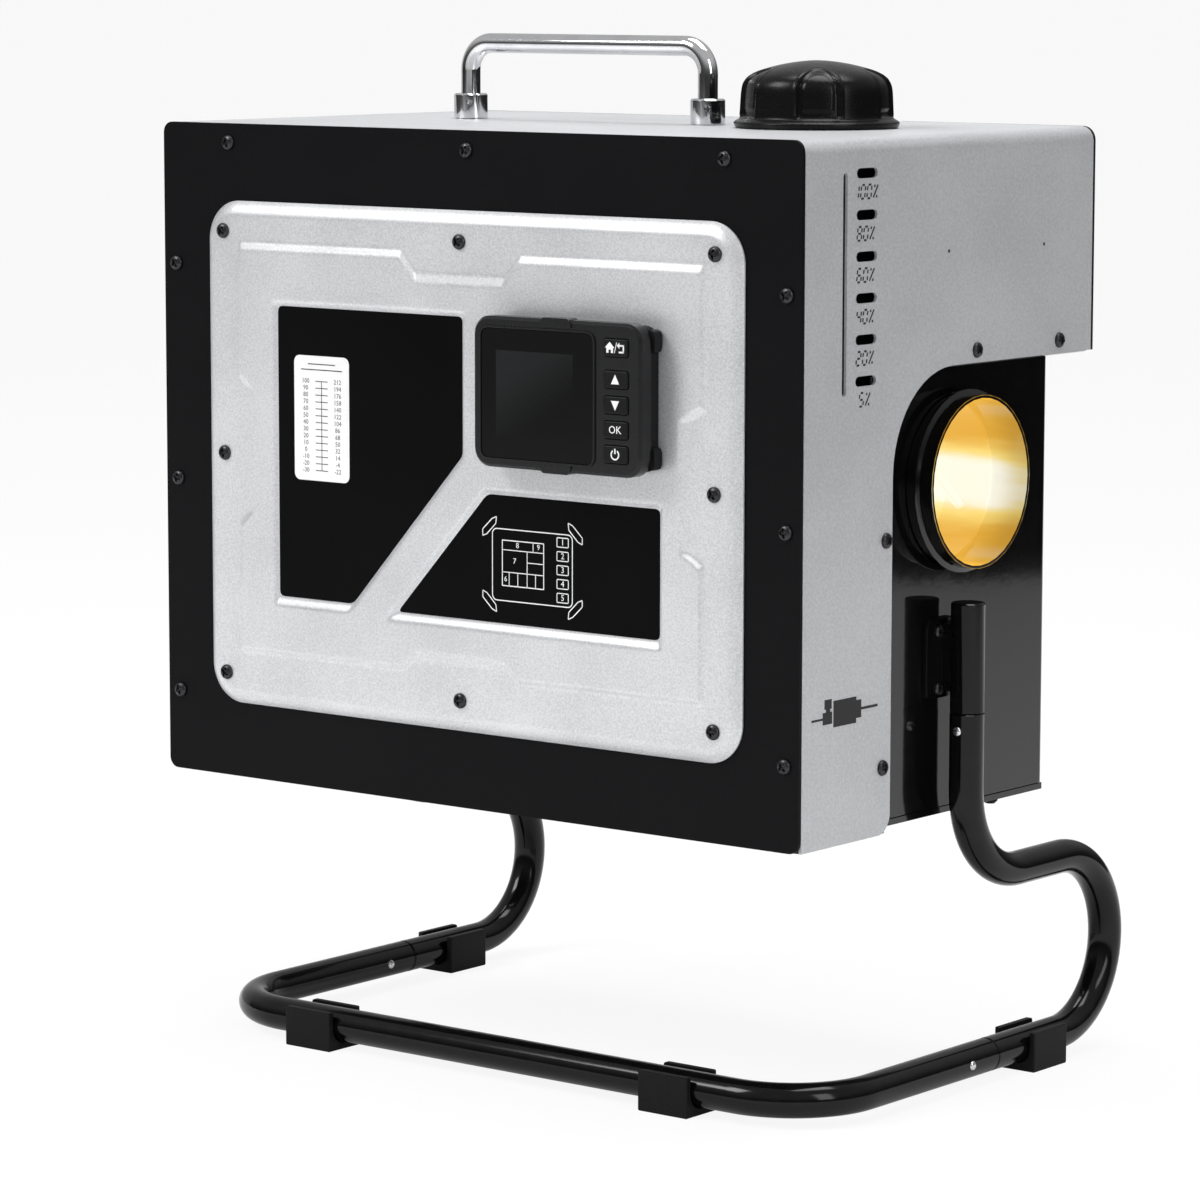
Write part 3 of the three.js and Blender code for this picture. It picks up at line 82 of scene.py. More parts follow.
class Wire:
    def __init__(self, tree, socket):
        self.tree = tree
        self.socket = socket

    # another output of the same node
    def out(self, key):
        return Wire(self.tree, self.socket.node.outputs[key])

    def math(self, operation, first, second=None):
        node = self.tree.nodes.new("ShaderNodeMath")
        node.operation = operation
        feed(self.tree, node.inputs[0], first)
        feed(self.tree, node.inputs[1], second)
        return Wire(self.tree, node.outputs[0])

    def __add__(self, other):
        return self.math("ADD", self, other)

    __radd__ = __add__

    def __mul__(self, other):
        return self.math("MULTIPLY", self, other)

    __rmul__ = __mul__

    def __sub__(self, other):
        return self.math("SUBTRACT", self, other)

    def __rsub__(self, other):
        return self.math("SUBTRACT", other, self)

    def __gt__(self, other):
        return self.math("GREATER_THAN", self, other)

    def __lt__(self, other):
        return self.math("LESS_THAN", self, other)

    def __pow__(self, other):
        return self.math("POWER", self, other)

    def __abs__(self):
        return self.math("ABSOLUTE", self)


# the nodes of one material, or of the world
class Finish:
    def __init__(self, owner):
        owner.use_nodes = True
        self.owner = owner
        self.tree = owner.node_tree
        self.tree.nodes.clear()
        self.place = self.node("ShaderNodeTexCoord", out="Object")

    def node(self, kind, settings=None, inputs=None, out=0):
        fresh = self.tree.nodes.new(kind)
        for key, value in (settings or {}).items():
            setattr(fresh, key, value)
        for key, value in (inputs or {}).items():
            feed(self.tree, fresh.inputs[key], value)
        return Wire(self.tree, fresh.outputs[out]) if len(fresh.outputs) else None

    def noise(self, scale, detail=3, roughness=0.5, place=None):
        inputs = {"Vector": place or self.place, "Scale": scale, "Detail": detail, "Roughness": roughness}
        return self.node("ShaderNodeTexNoise", None, inputs)

    def axes(self, vector=None):
        split = self.node("ShaderNodeSeparateXYZ", None, {0: vector or self.place})
        return [split.out(axis) for axis in "XYZ"]

    def ease(self, value, low, high, start=0.0, end=1.0):
        inputs = {"Value": value, "From Min": low, "From Max": high, "To Min": start, "To Max": end}
        return self.node("ShaderNodeMapRange", {"interpolation_type": "SMOOTHSTEP"}, inputs)

    def mix(self, factor, first, second):
        return self.node("ShaderNodeMix", {"data_type": "RGBA"}, {0: factor, 6: first, 7: second}, 2)

    def bump(self, height, distance):
        return self.node("ShaderNodeBump", None, {"Height": height, "Distance": distance, "Strength": 1.0})

    def close(self, shader, kind="ShaderNodeOutputMaterial"):
        self.node(kind, None, {0: shader})
        return self.owner

    def surface(self, **values):
        inputs = {key.replace("_", " "): value for key, value in values.items()}
        return self.close(self.node("ShaderNodeBsdfPrincipled", None, inputs))


# A sprayed or moulded coat: base colour, a second tone, its grain and how its gloss varies.
coats = {
    "satinBlack": dict(base=(0.0042, 0.0042, 0.005), tone=(0.006, 0.006, 0.0068), rough=0.42, vary=0.08,
                       grain=2600, height=0.00002, metallic=0.0, specular=0.06),
    "silverPaint": dict(base=(0.45, 0.455, 0.47), tone=(0.55, 0.555, 0.57), rough=0.42, vary=0.08,
                        grain=750, height=0.000012, metallic=0.35, specular=0.5),
    "bezelSilver": dict(base=(0.56, 0.565, 0.58), tone=(0.74, 0.745, 0.76), rough=0.36, vary=0.1,
                        grain=1050, height=0.000035, metallic=0.45, specular=0.5),
    "glossBlack": dict(base=(0.002, 0.002, 0.0023), tone=(0.0035, 0.0035, 0.0038), rough=0.06, vary=0.04,
                       grain=160, height=0.00001, metallic=0.0, specular=0.42),
    "standBlack": dict(base=(0.002, 0.002, 0.0023), tone=(0.0035, 0.0035, 0.0038), rough=0.13, vary=0.05,
                       grain=160, height=0.00001, metallic=0.0, specular=0.24),
    "darkPlastic": dict(base=(0.012, 0.0125, 0.0135), tone=(0.018, 0.0185, 0.02), rough=0.42, vary=0.14,
                        grain=1600, height=0.00003, metallic=0.0, specular=0.3),
    "unitPlastic": dict(base=(0.006, 0.0063, 0.007), tone=(0.009, 0.0094, 0.0102), rough=0.26, vary=0.1,
                        grain=1800, height=0.00002, metallic=0.0, specular=0.28),
    "capPlastic": dict(base=(0.0025, 0.0025, 0.0029), tone=(0.004, 0.004, 0.0045), rough=0.26, vary=0.14,
                       grain=1300, height=0.00003, metallic=0.0, specular=0.16),
    "keyPlastic": dict(base=(0.006, 0.0062, 0.0068), tone=(0.009, 0.0092, 0.01), rough=0.34, vary=0.1,
                       grain=1800, height=0.00002, metallic=0.0, specular=0.14),
    "rubber": dict(base=(0.005, 0.005, 0.0055), tone=(0.009, 0.009, 0.0095), rough=0.55, vary=0.15,
                   grain=1000, height=0.00006, metallic=0.0, specular=0.14),
    "tankPlastic": dict(base=(0.03, 0.031, 0.033), tone=(0.04, 0.041, 0.044), rough=0.55, vary=0.1,
                        grain=500, height=0.00008, metallic=0.0, specular=0.4),
    "clearPlastic": dict(base=(0.42, 0.44, 0.4), tone=(0.55, 0.57, 0.52), rough=0.25, vary=0.1,
                         grain=400, height=0.00003, metallic=0.0, specular=0.4),
    "boardGreen": dict(base=(0.012, 0.08, 0.03), tone=(0.02, 0.11, 0.045), rough=0.4, vary=0.1,
                       grain=600, height=0.00003, metallic=0.0, specular=0.4),
    "labelFilm": dict(base=(0.002, 0.002, 0.0024), tone=(0.0032, 0.0032, 0.0036), rough=0.33, vary=0.08,
                      grain=2200, height=0.00001, metallic=0.0, specular=0.04),
    "whitePrint": dict(base=(0.82, 0.82, 0.82), tone=(0.9, 0.9, 0.9), rough=0.5, vary=0.05,
                       grain=2000, height=0.00001, metallic=0.0, specular=0.4),
    "blackPrintAndHoleShade": dict(base=(0.006, 0.006, 0.006), tone=(0.01, 0.01, 0.01), rough=0.5, vary=0.05,
                       grain=2000, height=0.00001, metallic=0.0, specular=0.4),
}

# Bare and plated metal: colour, gloss and the scale of its smudges or casting grain.
metals = {
    "chrome": dict(base=(0.78, 0.785, 0.8), rough=0.045, vary=0.05, grain=45, height=0.0),
    "blackScrew": dict(base=(0.05, 0.05, 0.054), rough=0.28, vary=0.12, grain=700, height=0.00002),
    "brightRivet": dict(base=(0.72, 0.72, 0.74), rough=0.22, vary=0.1, grain=500, height=0.0),
    "castAlloy": dict(base=(0.4, 0.4, 0.41), rough=0.5, vary=0.15, grain=700, height=0.0001),
    "steel": dict(base=(0.42, 0.42, 0.43), rough=0.35, vary=0.12, grain=500, height=0.00003),
}

# How the tones and the gloss of every coat and metal follow their grain
texture = {
    "broad": 14, "fineShare": 0.7, "tones": (0.35, 0.65), "fineGloss": 0.6,
    "metalTones": (0.3, 0.7), "metalDark": 0.86,
}


def coat(name):
    look = coats[name]
    f = Finish(bpy.data.materials.new(name))
    broad = f.noise(texture["broad"], 2)
    fine = f.noise(look["grain"], 3, 0.6)
    tone = f.ease(fine * texture["fineShare"] + broad * (1 - texture["fineShare"]), *texture["tones"])
    wear = (broad - 0.5) * look["vary"] + (fine - 0.5) * look["vary"] * texture["fineGloss"]
    return f.surface(
        Base_Color=f.mix(tone, look["base"], look["tone"]),
        Metallic=look["metallic"],
        Specular_IOR_Level=look["specular"],
        Roughness=look["rough"] + wear,
        Normal=f.bump(fine, look["height"]),
    )


def metal(name):
    look = metals[name]
    f = Finish(bpy.data.materials.new(name))
    smudge = f.noise(look["grain"], 4, 0.6)
    dark = [c * texture["metalDark"] for c in look["base"]]
    values = dict(
        Base_Color=f.mix(f.ease(smudge, *texture["metalTones"]), look["base"], dark),
        Metallic=1.0,
        Roughness=look["rough"] + smudge * look["vary"],
    )
    if look["height"]:
        values["Normal"] = f.bump(smudge, look["height"])
    return f.surface(**values)


materials = {name: coat(name) for name in coats}
materials.update({name: metal(name) for name in metals})

# Light from the burner falls on the inside of the duct, on the sleeve and on the fins behind it; it is painted
# on them as glow.
ductLow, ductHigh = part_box("outlet_duct")
ductMiddle = (ductLow + ductHigh) / 2
glow = {
    "gold": (0.76, 0.4, 0.045),
    "yellow": (0.95, 0.72, 0.2),
    "whiteLight": (1.0, 0.97, 0.82),
    "toYellow": (0.0, 0.55),
    "toWhiteLight": (0.4, 0.95),
    "deep": 0.022,  # behind the rim, where it is brightest
    "atRim": 0.7,  # what is left of it at the rim
    "brightLine": -0.005,  # below the duct's middle line
    "spread": (0.003, 0.027),
    "streaks": 95,
    "streakShape": (0.25, 1, 1.6),
    "streakShare": 0.5,
    "grain": 700,
    "grainGloss": 0.06,
    "inner": 0.0415,
    "rim": 0.0002,
    "ring": 0.0419,  # the lit outer edge of the rim
    "ringLevel": 0.45,
}


def glowing(name, base, metallic, rough, level, onlyInside=False, ends=False):
    f = Finish(bpy.data.materials.new(name))
    x, y, z = f.axes()
    depth = f.ease(x, ductHigh.x - glow["deep"], ductHigh.x, 1.0, glow["atRim"])
    lightBand = f.ease(abs(z - (ductMiddle.z + glow["brightLine"])), *glow["spread"], 1.0, 0.0)
    along = f.node("ShaderNodeMapping", None, {"Vector": f.place, "Scale": glow["streakShape"]})
    streak = f.noise(glow["streaks"], place=along)
    # painted light: a band along the duct, strongest deep inside and fading towards the rim, broken by streaks
    burnerLight = lightBand * depth + (streak - 0.5) * glow["streakShare"]
    if ends:  # only the faces that look along the duct
        normal = f.node("ShaderNodeNewGeometry", out="Normal")
        burnerLight = burnerLight * (abs(f.axes(normal)[0]) < 0.5)
    colour = f.mix(f.ease(burnerLight, *glow["toYellow"]), glow["gold"], glow["yellow"])
    colour = f.mix(f.ease(burnerLight, *glow["toWhiteLight"]), colour, glow["whiteLight"])
    strength = depth * level
    if onlyInside:
        offY, offZ = y - ductMiddle.y, z - ductMiddle.z
        radius = (offY * offY + offZ * offZ) ** 0.5
        behindRim = x < ductHigh.x - glow["rim"]
        strength = strength * (radius < glow["inner"]) * behindRim
        # painted light on the rim's outer edge
        strength = strength + (1 - behindRim) * (radius > glow["ring"]) * glow["ringLevel"]
    return f.surface(
        Base_Color=base,
        Metallic=metallic,
        Roughness=rough + f.noise(glow["grain"], 2) * glow["grainGloss"],
        Emission_Color=f.mix(strength, (0, 0, 0), colour),
        Emission_Strength=1.0,
    )


materials["ductBlackPaintedLight"] = glowing("ductBlackPaintedLight", (0.004, 0.0036, 0.0034), 0.0, 0.1, 0.92, onlyInside=True)
materials["glowingSleeve"] = glowing("glowingSleeve", (0.1, 0.07, 0.03), 0.5, 0.35, 0.95)
materials["glowingFins"] = glowing("glowingFins", (0.1, 0.07, 0.03), 0.5, 0.4, 1.0, ends=True)

# The control unit: its display behind the glass, with a painted reflection, its sound slots and its latches
unit = {
    "displayLow": (237.0, 0, 188.0),
    "displayHigh": (283.8, 0, 229.0),
    "mask": (0.002, 0.002, 0.0021),
    "displayDark": (0.0016, 0.0017, 0.0018),
    "displayPaintedReflection": (0.013, 0.0138, 0.0145),
    "reflectionLean": 0.6,
    "reflectionFrom": -0.012,
    "reflectionTo": 0.03,
    "slots": 8,
    "slotStart": (235.0, 240.3),
    "slotPitch": 2.1,
    "slotSize": (0.7, 2.2),
    "latch": (9.6, 1.5, 3.4),  # half its width, how far its sides slant in, how far it reaches over the face
    "latchX": 273.0,
    "latchInset": 0.9,
    "latchLine": 0.55,
    "faceInset": 0.7,
}


def screenFinish():
    f = Finish(bpy.data.materials.new("screenGlass"))
    x, y, z = f.axes()
    low, high = at(*unit["displayLow"]), at(*unit["displayHigh"])
    inside = (x > low.x) * (x < high.x) * (z > low.z) * (z < high.z)
    # a painted reflection: the display grows lighter towards its upper left, past a slanting line
    paintedReflection = f.ease((z - low.z) - (x - low.x) * unit["reflectionLean"], unit["reflectionFrom"], unit["reflectionTo"])
    return f.surface(
        Base_Color=f.mix(inside, unit["mask"], f.mix(paintedReflection, unit["displayDark"], unit["displayPaintedReflection"])),
        Roughness=0.05 + f.noise(1500, 2) * 0.03,
        Specular_IOR_Level=0.1,
        Coat_Weight=0.08,
        Coat_Roughness=0.03,
    )


materials["screenGlass"] = screenFinish()
print("finishes made:", len(materials))

# The finish of each node: a name's start, end or middle stands for all nodes that have it.
nodeFinish = {
    "front_plate": "satinBlack",
    "front_bezel": "bezelSilver",
    "outer_cover": "silverPaint",
    "rear_panel": "satinBlack",
    "handle": "chrome",
    "fuel_tank": "tankPlastic",
    "filler_neck": "tankPlastic",
    "sight_tube": "clearPlastic",
    "fuel_cap": "capPlastic",
    "fuel_filter": "clearPlastic",
    "fuel_pump": "castAlloy",
    "pump_plunger": "steel",
    "unit_case": "unitPlastic",
    "unit_lens": "screenGlass",
    "unit_board": "boardGreen",
    "control_board": "boardGreen",
    "outlet_duct": "ductBlackPaintedLight",
    "outlet_nozzle": "glowingSleeve",
    "heat_exchanger": "glowingFins",
    "casing": "darkPlastic",
    "burner": "steel",
    "glow_plug": "steel",
    "blower_motor": "steel",
    "motor_shaft": "steel",
    "warm_air_fan": "darkPlastic",
    "combustion_fan": "castAlloy",
    "intake_guard": "satinBlack",
    "exhaust_pipe": "steel",
    "air_inlet_pipe": "darkPlastic",
    "power_socket": "darkPlastic",
    "tank_shelf": "glossBlack",
    "body_shell": "glossBlack",
    "bottom_tray": "glossBlack",
    "stand": "standBlack",
}
edgeRound = {
    "outer_cover": 0.8, "front_plate": 0.35, "fuel_cap": 0.5, "unit_case": 0.8, "unit_cradle": 0.7,
    "body_shell": 0.45, "bottom_tray": 0.3, "pad": 0.9, "stand_bracket": 0.5, "handle_ferrule": 0.4,
    "button": 0.2,
}
edges = {
    "weld": 0.005, "segments": 2,
    "rounded": 40, "crease": 32, "ownCrease": 35,  # degrees
}


def lookUp(table, name, default):
    for key, value in table.items():
        if name.startswith(key) or name.endswith(key) or f"_{key}_" in name:
            return value
    return default


# shared corners, eased edges and smooth faces up to the crease angle
def smoothEdges(obj, rounding):
    weld = obj.modifiers.new("weld", "WELD")
    weld.merge_threshold = edges["weld"] * mm
    if rounding:
        bevel = obj.modifiers.new("edges", "BEVEL")
        bevel.width = rounding * mm
        bevel.segments = edges["segments"]
        bevel.limit_method = "ANGLE"
        bevel.angle_limit = math.radians(edges["rounded"])
    split = obj.modifiers.new("creases", "EDGE_SPLIT")
    split.split_angle = math.radians(edges["crease"])
    weighted = obj.modifiers.new("flats", "WEIGHTED_NORMAL")
    weighted.keep_sharp = True


for name, node in nodes.items():
    finish = "keyPlastic" if name.endswith("button") else lookUp(nodeFinish, name, "rubber")
    mesh = node.data
    mesh.materials.clear()
    mesh.materials.append(materials[finish])
    if "custom_normal" in mesh.attributes:
        mesh.attributes.remove(mesh.attributes["custom_normal"])
    for face in mesh.polygons:
        face.use_smooth = True
    smoothEdges(node, lookUp(edgeRound, name, 0))
print("nodes dressed:", len(nodes))

made = []


def piece(name, mesh, finish, body="heater", smooth=True):
    obj = bpy.data.objects.new(name, mesh)
    bpy.context.collection.objects.link(obj)
    if not mesh.materials:
        mesh.materials.append(materials[finish])
    if smooth:
        for face in mesh.polygons:
            face.use_smooth = True
        mesh.set_sharp_from_angle(angle=math.radians(edges["ownCrease"]))
    made.append((obj, body))
    return obj


# puts a piece drawn in X and Y, with Z out of it, on a face
def facing(place, normal, up=(0, 0, 1)):
    out = Vector(normal).normalized()
    side = Vector(up).cross(out).normalized()
    rise = out.cross(side)
    turned = Matrix((side, rise, out)).transposed().to_4x4()
    return Matrix.Translation(place) @ turned


def closeMesh(name, bm):
    mesh = bpy.data.meshes.new(name)
    bm.to_mesh(mesh)
    bm.free()
    return mesh


def circle(count):
    return [2 * math.pi * k / count for k in range(count)]


# faces between two rings of the same count
def joinRings(bm, lower, upper):
    for k in range(len(lower)):
        j = (k + 1) % len(lower)
        bm.faces.new((lower[k], lower[j], upper[j], upper[k]))


# faces from a ring to one point
def joinTip(bm, ring, tip):
    for k in range(len(ring)):
        bm.faces.new((ring[k], ring[(k + 1) % len(ring)], tip))


# Domed screws with a cross recess: its arms narrow and grow shallow outwards.
screw = {
    "width": 7.6, "smallWidth": 6.2, "height": 2.3, "rim": 0.5, "rings": 12, "sides": 48,
    "arm": 0.62, "armFoot": 1.35, "armTaper": 0.5, "reach": 2.3, "depth": 1.5, "depthTaper": 0.45,
}


def screwLevel(r, angle):
    px, py = abs(r * math.cos(angle)), abs(r * math.sin(angle))
    bulge = math.sqrt(max(0, 1 - (2 * r / screw["width"]) ** 2))
    dome = screw["rim"] + (screw["height"] - screw["rim"]) * bulge
    across, along = min(px, py), max(px, py)
    out = along / screw["reach"]
    if out < 1 and across < screw["arm"] * (screw["armFoot"] - screw["armTaper"] * out):
        dome -= screw["depth"] * (1 - screw["depthTaper"] * out)
    return dome


def screwMesh(name, width):
    bm = bmesh.new()
    size = width / screw["width"] * mm
    rings = []
    for ring in range(1, screw["rings"] + 1):
        r = screw["width"] / 2 * ring / screw["rings"]
        row = [Vector((r * math.cos(a), r * math.sin(a), screwLevel(r, a))) for a in circle(screw["sides"])]
        rings.append([bm.verts.new(point * size) for point in row])
    rings.append([bm.verts.new((vert.co.x, vert.co.y, 0)) for vert in rings[-1]])
    joinTip(bm, rings[0], bm.verts.new(Vector((0, 0, screwLevel(0, 0))) * size))
    for inner, outer in zip(rings, rings[1:]):
        joinRings(bm, outer, inner)
    bm.faces.new(list(reversed(rings[-1])))
    return closeMesh(name, bm)


caseScrew = screwMesh("caseScrew", screw["width"])
smallScrew = screwMesh("smallScrew", screw["smallWidth"])


def screwAt(name, place, normal, turn, mesh=caseScrew):
    obj = piece(name, mesh, "blackScrew")
    obj.matrix_world = facing(place, normal) @ Matrix.Rotation(math.radians(turn), 4, "Z")


# Where the screws sit, in millimetres. Each is turned further than the last, so no two recesses stand alike.
screwPlaces = {
    "front": [(44.5, 322), (200, 322), (355.5, 322), (8.3, 260.3), (8.3, 150.5), (8.3, 41),
              (391.8, 260.3), (391.8, 150.5), (391.8, 41)],
    "bezelMiddle": (199.6, 166.1), "bezelReach": (154.5, 112.0), "bezelFace": -5.0,
    "side": [(144.5, 226.7), (217.1, 227.1), (69.3, 141), (67.7, 32.4)],
    "rear": [(20, 318), (200, 318), (380, 318), (20, 236), (200, 236), (380, 236)],
    "bracketY": 127, "bracketHeights": (90.7, 62.8), "bracketWall": 2.5,
}
caseWidth = (plateHigh.x - plateLow.x) / mm
rearFace = (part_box("rear_panel")[1].y - plateLow.y) / mm
for k, (x, z) in enumerate(screwPlaces["front"]):
    screwAt(f"plateScrew{k + 1}", at(x, 0, z), (0, -1, 0), 15 + 37 * k)
spots = [(column, row) for column in (-1, 0, 1) for row in (-1, 0, 1) if column or row]
for k, (column, row) in enumerate(spots, 1):
    x = screwPlaces["bezelMiddle"][0] + column * screwPlaces["bezelReach"][0]
    z = screwPlaces["bezelMiddle"][1] + row * screwPlaces["bezelReach"][1]
    screwAt(f"bezelScrew{k}", at(x, screwPlaces["bezelFace"], z), (0, -1, 0), 20 + 41 * k)
for k, (y, z) in enumerate(screwPlaces["side"]):
    screwAt(f"rightScrew{k + 1}", at(caseWidth, y, z), (1, 0, 0), 30 + 50 * k)
    screwAt(f"leftScrew{k + 1}", at(0, y, z), (-1, 0, 0), 10 + 50 * k)
for k, (x, z) in enumerate(screwPlaces["rear"]):
    screwAt(f"rearScrew{k + 1}", at(x, rearFace, z), (0, 1, 0), 25 * k)
for side, name in ((1, "right"), (-1, "left")):
    low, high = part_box(f"stand_bracket_{name}")
    face = (low.x if side > 0 else high.x) + side * screwPlaces["bracketWall"] * mm
    for k, height in enumerate(screwPlaces["bracketHeights"]):
        place = at(0, screwPlaces["bracketY"], height)
        place.x = face
        screwAt(f"{name}BracketScrew{k + 1}", place, (side, 0, 0), 45 * k, smallScrew)
print("screws set")

# Bright rivets where the stand's tubes are plugged into one another
rivet = {
    "width": 4.6, "height": 1.3, "sides": 24, "rings": 5,
    "rightY": 132.5, "leftY": 136, "legHeight": 42.5, "tube": 17,
}


def domeMesh(name, look):
    bm = bmesh.new()
    rows = []
    for ring in range(look["rings"]):
        lean = math.pi / 2 * ring / look["rings"]
        r, z = look["width"] / 2 * math.cos(lean), look["height"] * math.sin(lean)
        rows.append([bm.verts.new(spot(r * math.cos(a), r * math.sin(a), z)) for a in circle(look["sides"])])
    for lower, upper in zip(rows, rows[1:]):
        joinRings(bm, lower, upper)
    joinTip(bm, rows[-1], bm.verts.new(spot(0, 0, look["height"])))
    bm.faces.new(list(reversed(rows[0])))
    return closeMesh(name, bm)


rivetMesh = domeMesh("rivet", rivet)
bowLow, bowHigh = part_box("stand_bow")
railHeight = (bowLow.z + bowHigh.z) / 2
leftFace = bowLow.x + rivet["tube"] * mm
rivetPlaces = {
    "rightBowRivet": (Vector((bowHigh.x, at(0, rivet["rightY"], 0).y, railHeight)), (1, 0, 0)),
    "leftBowRivet": (Vector((leftFace, at(0, rivet["leftY"], 0).y, railHeight)), (1, 0, 0)),
}
for name in ("right", "left"):
    low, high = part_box(f"stand_leg_{name}")
    place = Vector(((low.x + high.x) / 2, low.y, at(0, 0, rivet["legHeight"]).z))
    rivetPlaces[f"{name}LegRivet"] = (place, (0, -1, 0))
for name, (place, normal) in rivetPlaces.items():
    piece(name, rivetMesh, "brightRivet").matrix_world = facing(place, normal)


def roundOutline(width, height, radius, steps=5):
    points = []
    for cx, cy, start in ((1, -1, -90), (1, 1, 0), (-1, 1, 90), (-1, -1, 180)):
        for k in range(steps + 1):
            angle = math.radians(start + 90 * k / steps)
            x = cx * (width / 2 - radius) + radius * math.cos(angle)
            y = cy * (height / 2 - radius) + radius * math.sin(angle)
            points.append((x, y))
    return points


# thin raised shapes from outlines in millimetres
def flatMesh(name, outlines, thick):
    bm = bmesh.new()
    for points in outlines:
        lower = [bm.verts.new(spot(x, y, 0)) for x, y in points]
        upper = [bm.verts.new(spot(x, y, thick)) for x, y in points]
        bm.faces.new(upper)
        bm.faces.new(list(reversed(lower)))
        joinRings(bm, lower, upper)
    bmesh.ops.recalc_face_normals(bm, faces=bm.faces)
    return closeMesh(name, bm)


# lays outlines on a face as a thin film or print
def printed(name, outlines, thick, finish, place, normal=(0, -1, 0), body="heater"):
    obj = piece(name, flatMesh(name, outlines, thick), finish, body, smooth=False)
    obj.matrix_world = facing(place, normal)


# a stroke with square ends
def bar(x0, y0, x1, y1, width):
    along = Vector((x1 - x0, y1 - y0))
    side = Vector((-along.y, along.x)).normalized() * width / 2
    ends = [(x0, y0, -1), (x1, y1, -1), (x1, y1, 1), (x0, y0, 1)]
    return [(x + side.x * way, y + side.y * way) for x, y, way in ends]


# a ruled frame with round corners
def frameOf(width, height, radius, stroke):
    outer = roundOutline(width, height, radius)
    inner = roundOutline(width - 2 * stroke, height - 2 * stroke, max(radius - stroke, 0.01))
    corners = list(zip(outer, inner))
    return [[a, b, d, c] for (a, c), (b, d) in zip(corners, corners[1:] + corners[:1])]


def shifted(outlines, dx, dy):
    return [[(x + dx, y + dy) for x, y in points] for points in outlines]


def easeCorners(points, ease, steps=3):
    result = []
    for k, point in enumerate(points):
        corner = Vector(point)
        before = corner + (Vector(points[k - 1]) - corner).normalized() * ease
        after = corner + (Vector(points[(k + 1) % len(points)]) - corner).normalized() * ease
        for s in range(steps + 1):
            t = s / steps
            result.append(tuple(before * (1 - t) ** 2 + corner * 2 * t * (1 - t) + after * t**2))
    return result


# Seven-stroke figures for the fuel gauge
figure = {
    "height": 6.3, "width": 3.3, "stroke": 1.0, "gap": 0.62, "lean": 0.14, "pitch": 5.1, "thick": 0.05,
    "dot": (1.1, 0.7, 1.2),  # a percent sign's dots: how wide, how far from the edge, how tall
}
strokes = {"0": "abcdef", "1": "bc", "2": "abged", "4": "fgbc", "5": "afgcd", "6": "afgedc", "8": "abcdefg"}


def figureOutlines(text):
    w, h, s = figure["width"], figure["height"], figure["stroke"]
    gap = s * figure["gap"]
    wide, inset, tall = figure["dot"]
    lines = {
        "a": (gap, h, w - gap, h), "g": (gap, h / 2, w - gap, h / 2), "d": (gap, 0, w - gap, 0),
        "f": (0, h / 2 + gap, 0, h - gap), "b": (w, h / 2 + gap, w, h - gap),
        "e": (0, gap, 0, h / 2 - gap), "c": (w, gap, w, h / 2 - gap),
    }
    outlines = []
    for k, character in enumerate(text):
        if character == "%":
            marks = [bar(0.1, 0.2, w - 0.1, h - 0.2, s), bar(0, h - inset, wide, h - inset, tall)]
            marks.append(bar(w - wide, inset, w, inset, tall))
        else:
            marks = [bar(*lines[stroke], s) for stroke in strokes[character]]
        outlines += shifted(marks, figure["pitch"] * (k - len(text) / 2), -h / 2)
    return [[(x + y * figure["lean"], y) for x, y in points] for points in outlines]


gauge = {
    "y": 51.5, "below": 8.6, "lowest": 218.0, "pitch": 19.4,
    "levels": ["5%", "20%", "40%", "60%", "80%", "100%"],
}
for k, text in enumerate(gauge["levels"]):
    place = at(caseWidth, gauge["y"], gauge["lowest"] + k * gauge["pitch"] - gauge["below"])
    printed("gaugeMark" + text[:-1], figureOutlines(text), figure["thick"], "blackPrintAndHoleShade", place, (1, 0, 0))

# A pump sign low on the front column, and two pin holes in the cover's side
sideMarks = {
    "pumpAt": (34.5, 62.5), "pumpThick": 0.05,
    "holesAt": [(119.6, 275.6), (202.4, 275.2)], "hole": (1.8, 1.8, 0.89, 4), "holeThick": 0.04,
}
pumpSign = [
    [(-7, -5.6), (11.5, -5.6), (11.5, 7.0), (-7, 7.0)],
    [(11.5, -3.4), (15.6, -3.4), (15.6, 5.2), (11.5, 5.2)],
    bar(15.6, 0.8, 29, 0.8, 1.3),
    [(-15.6, -3.6), (-8, -3.6), (-8, 2.2), (-15.6, 2.2)],
    bar(-24.5, -0.8, -15.6, -0.8, 1.1),
    [(-14.2, 3.6), (-8.4, 3.6), (-8.4, 8.2), (-14.2, 8.2)],
    bar(-11.3, 2.0, -11.3, 3.8, 3.4),
]
place = at(caseWidth, *sideMarks["pumpAt"])
printed("pumpSign", pumpSign, sideMarks["pumpThick"], "blackPrintAndHoleShade", place, (1, 0, 0))
# black discs of painted shade where the pin holes are
for k, (y, z) in enumerate(sideMarks["holesAt"]):
    hole = [roundOutline(*sideMarks["hole"])]
    printed(f"pinHole{k + 1}", hole, sideMarks["holeThick"], "blackPrintAndHoleShade", at(caseWidth, y, z), (1, 0, 0))
print("side marks printed")

# Black films in the bezel's two recesses
label = {"face": -4.6, "thick": 0.12, "ease": 3.0}
labelOutlines = {
    "leftLabel": [(81.4, 96.1), (130.2, 96.1), (201.3, 174.5), (201.3, 242.0), (81.4, 242.0)],
    "rightLabel": [(159.4, 94.6), (322.2, 94.6), (322.2, 157.0), (216.7, 157.0)],
}
for name, points in labelOutlines.items():
    printed(name, [easeCorners(points, label["ease"])], label["thick"], "labelFilm", at(0, label["face"], 0))
printFace = label["face"] - label["thick"]


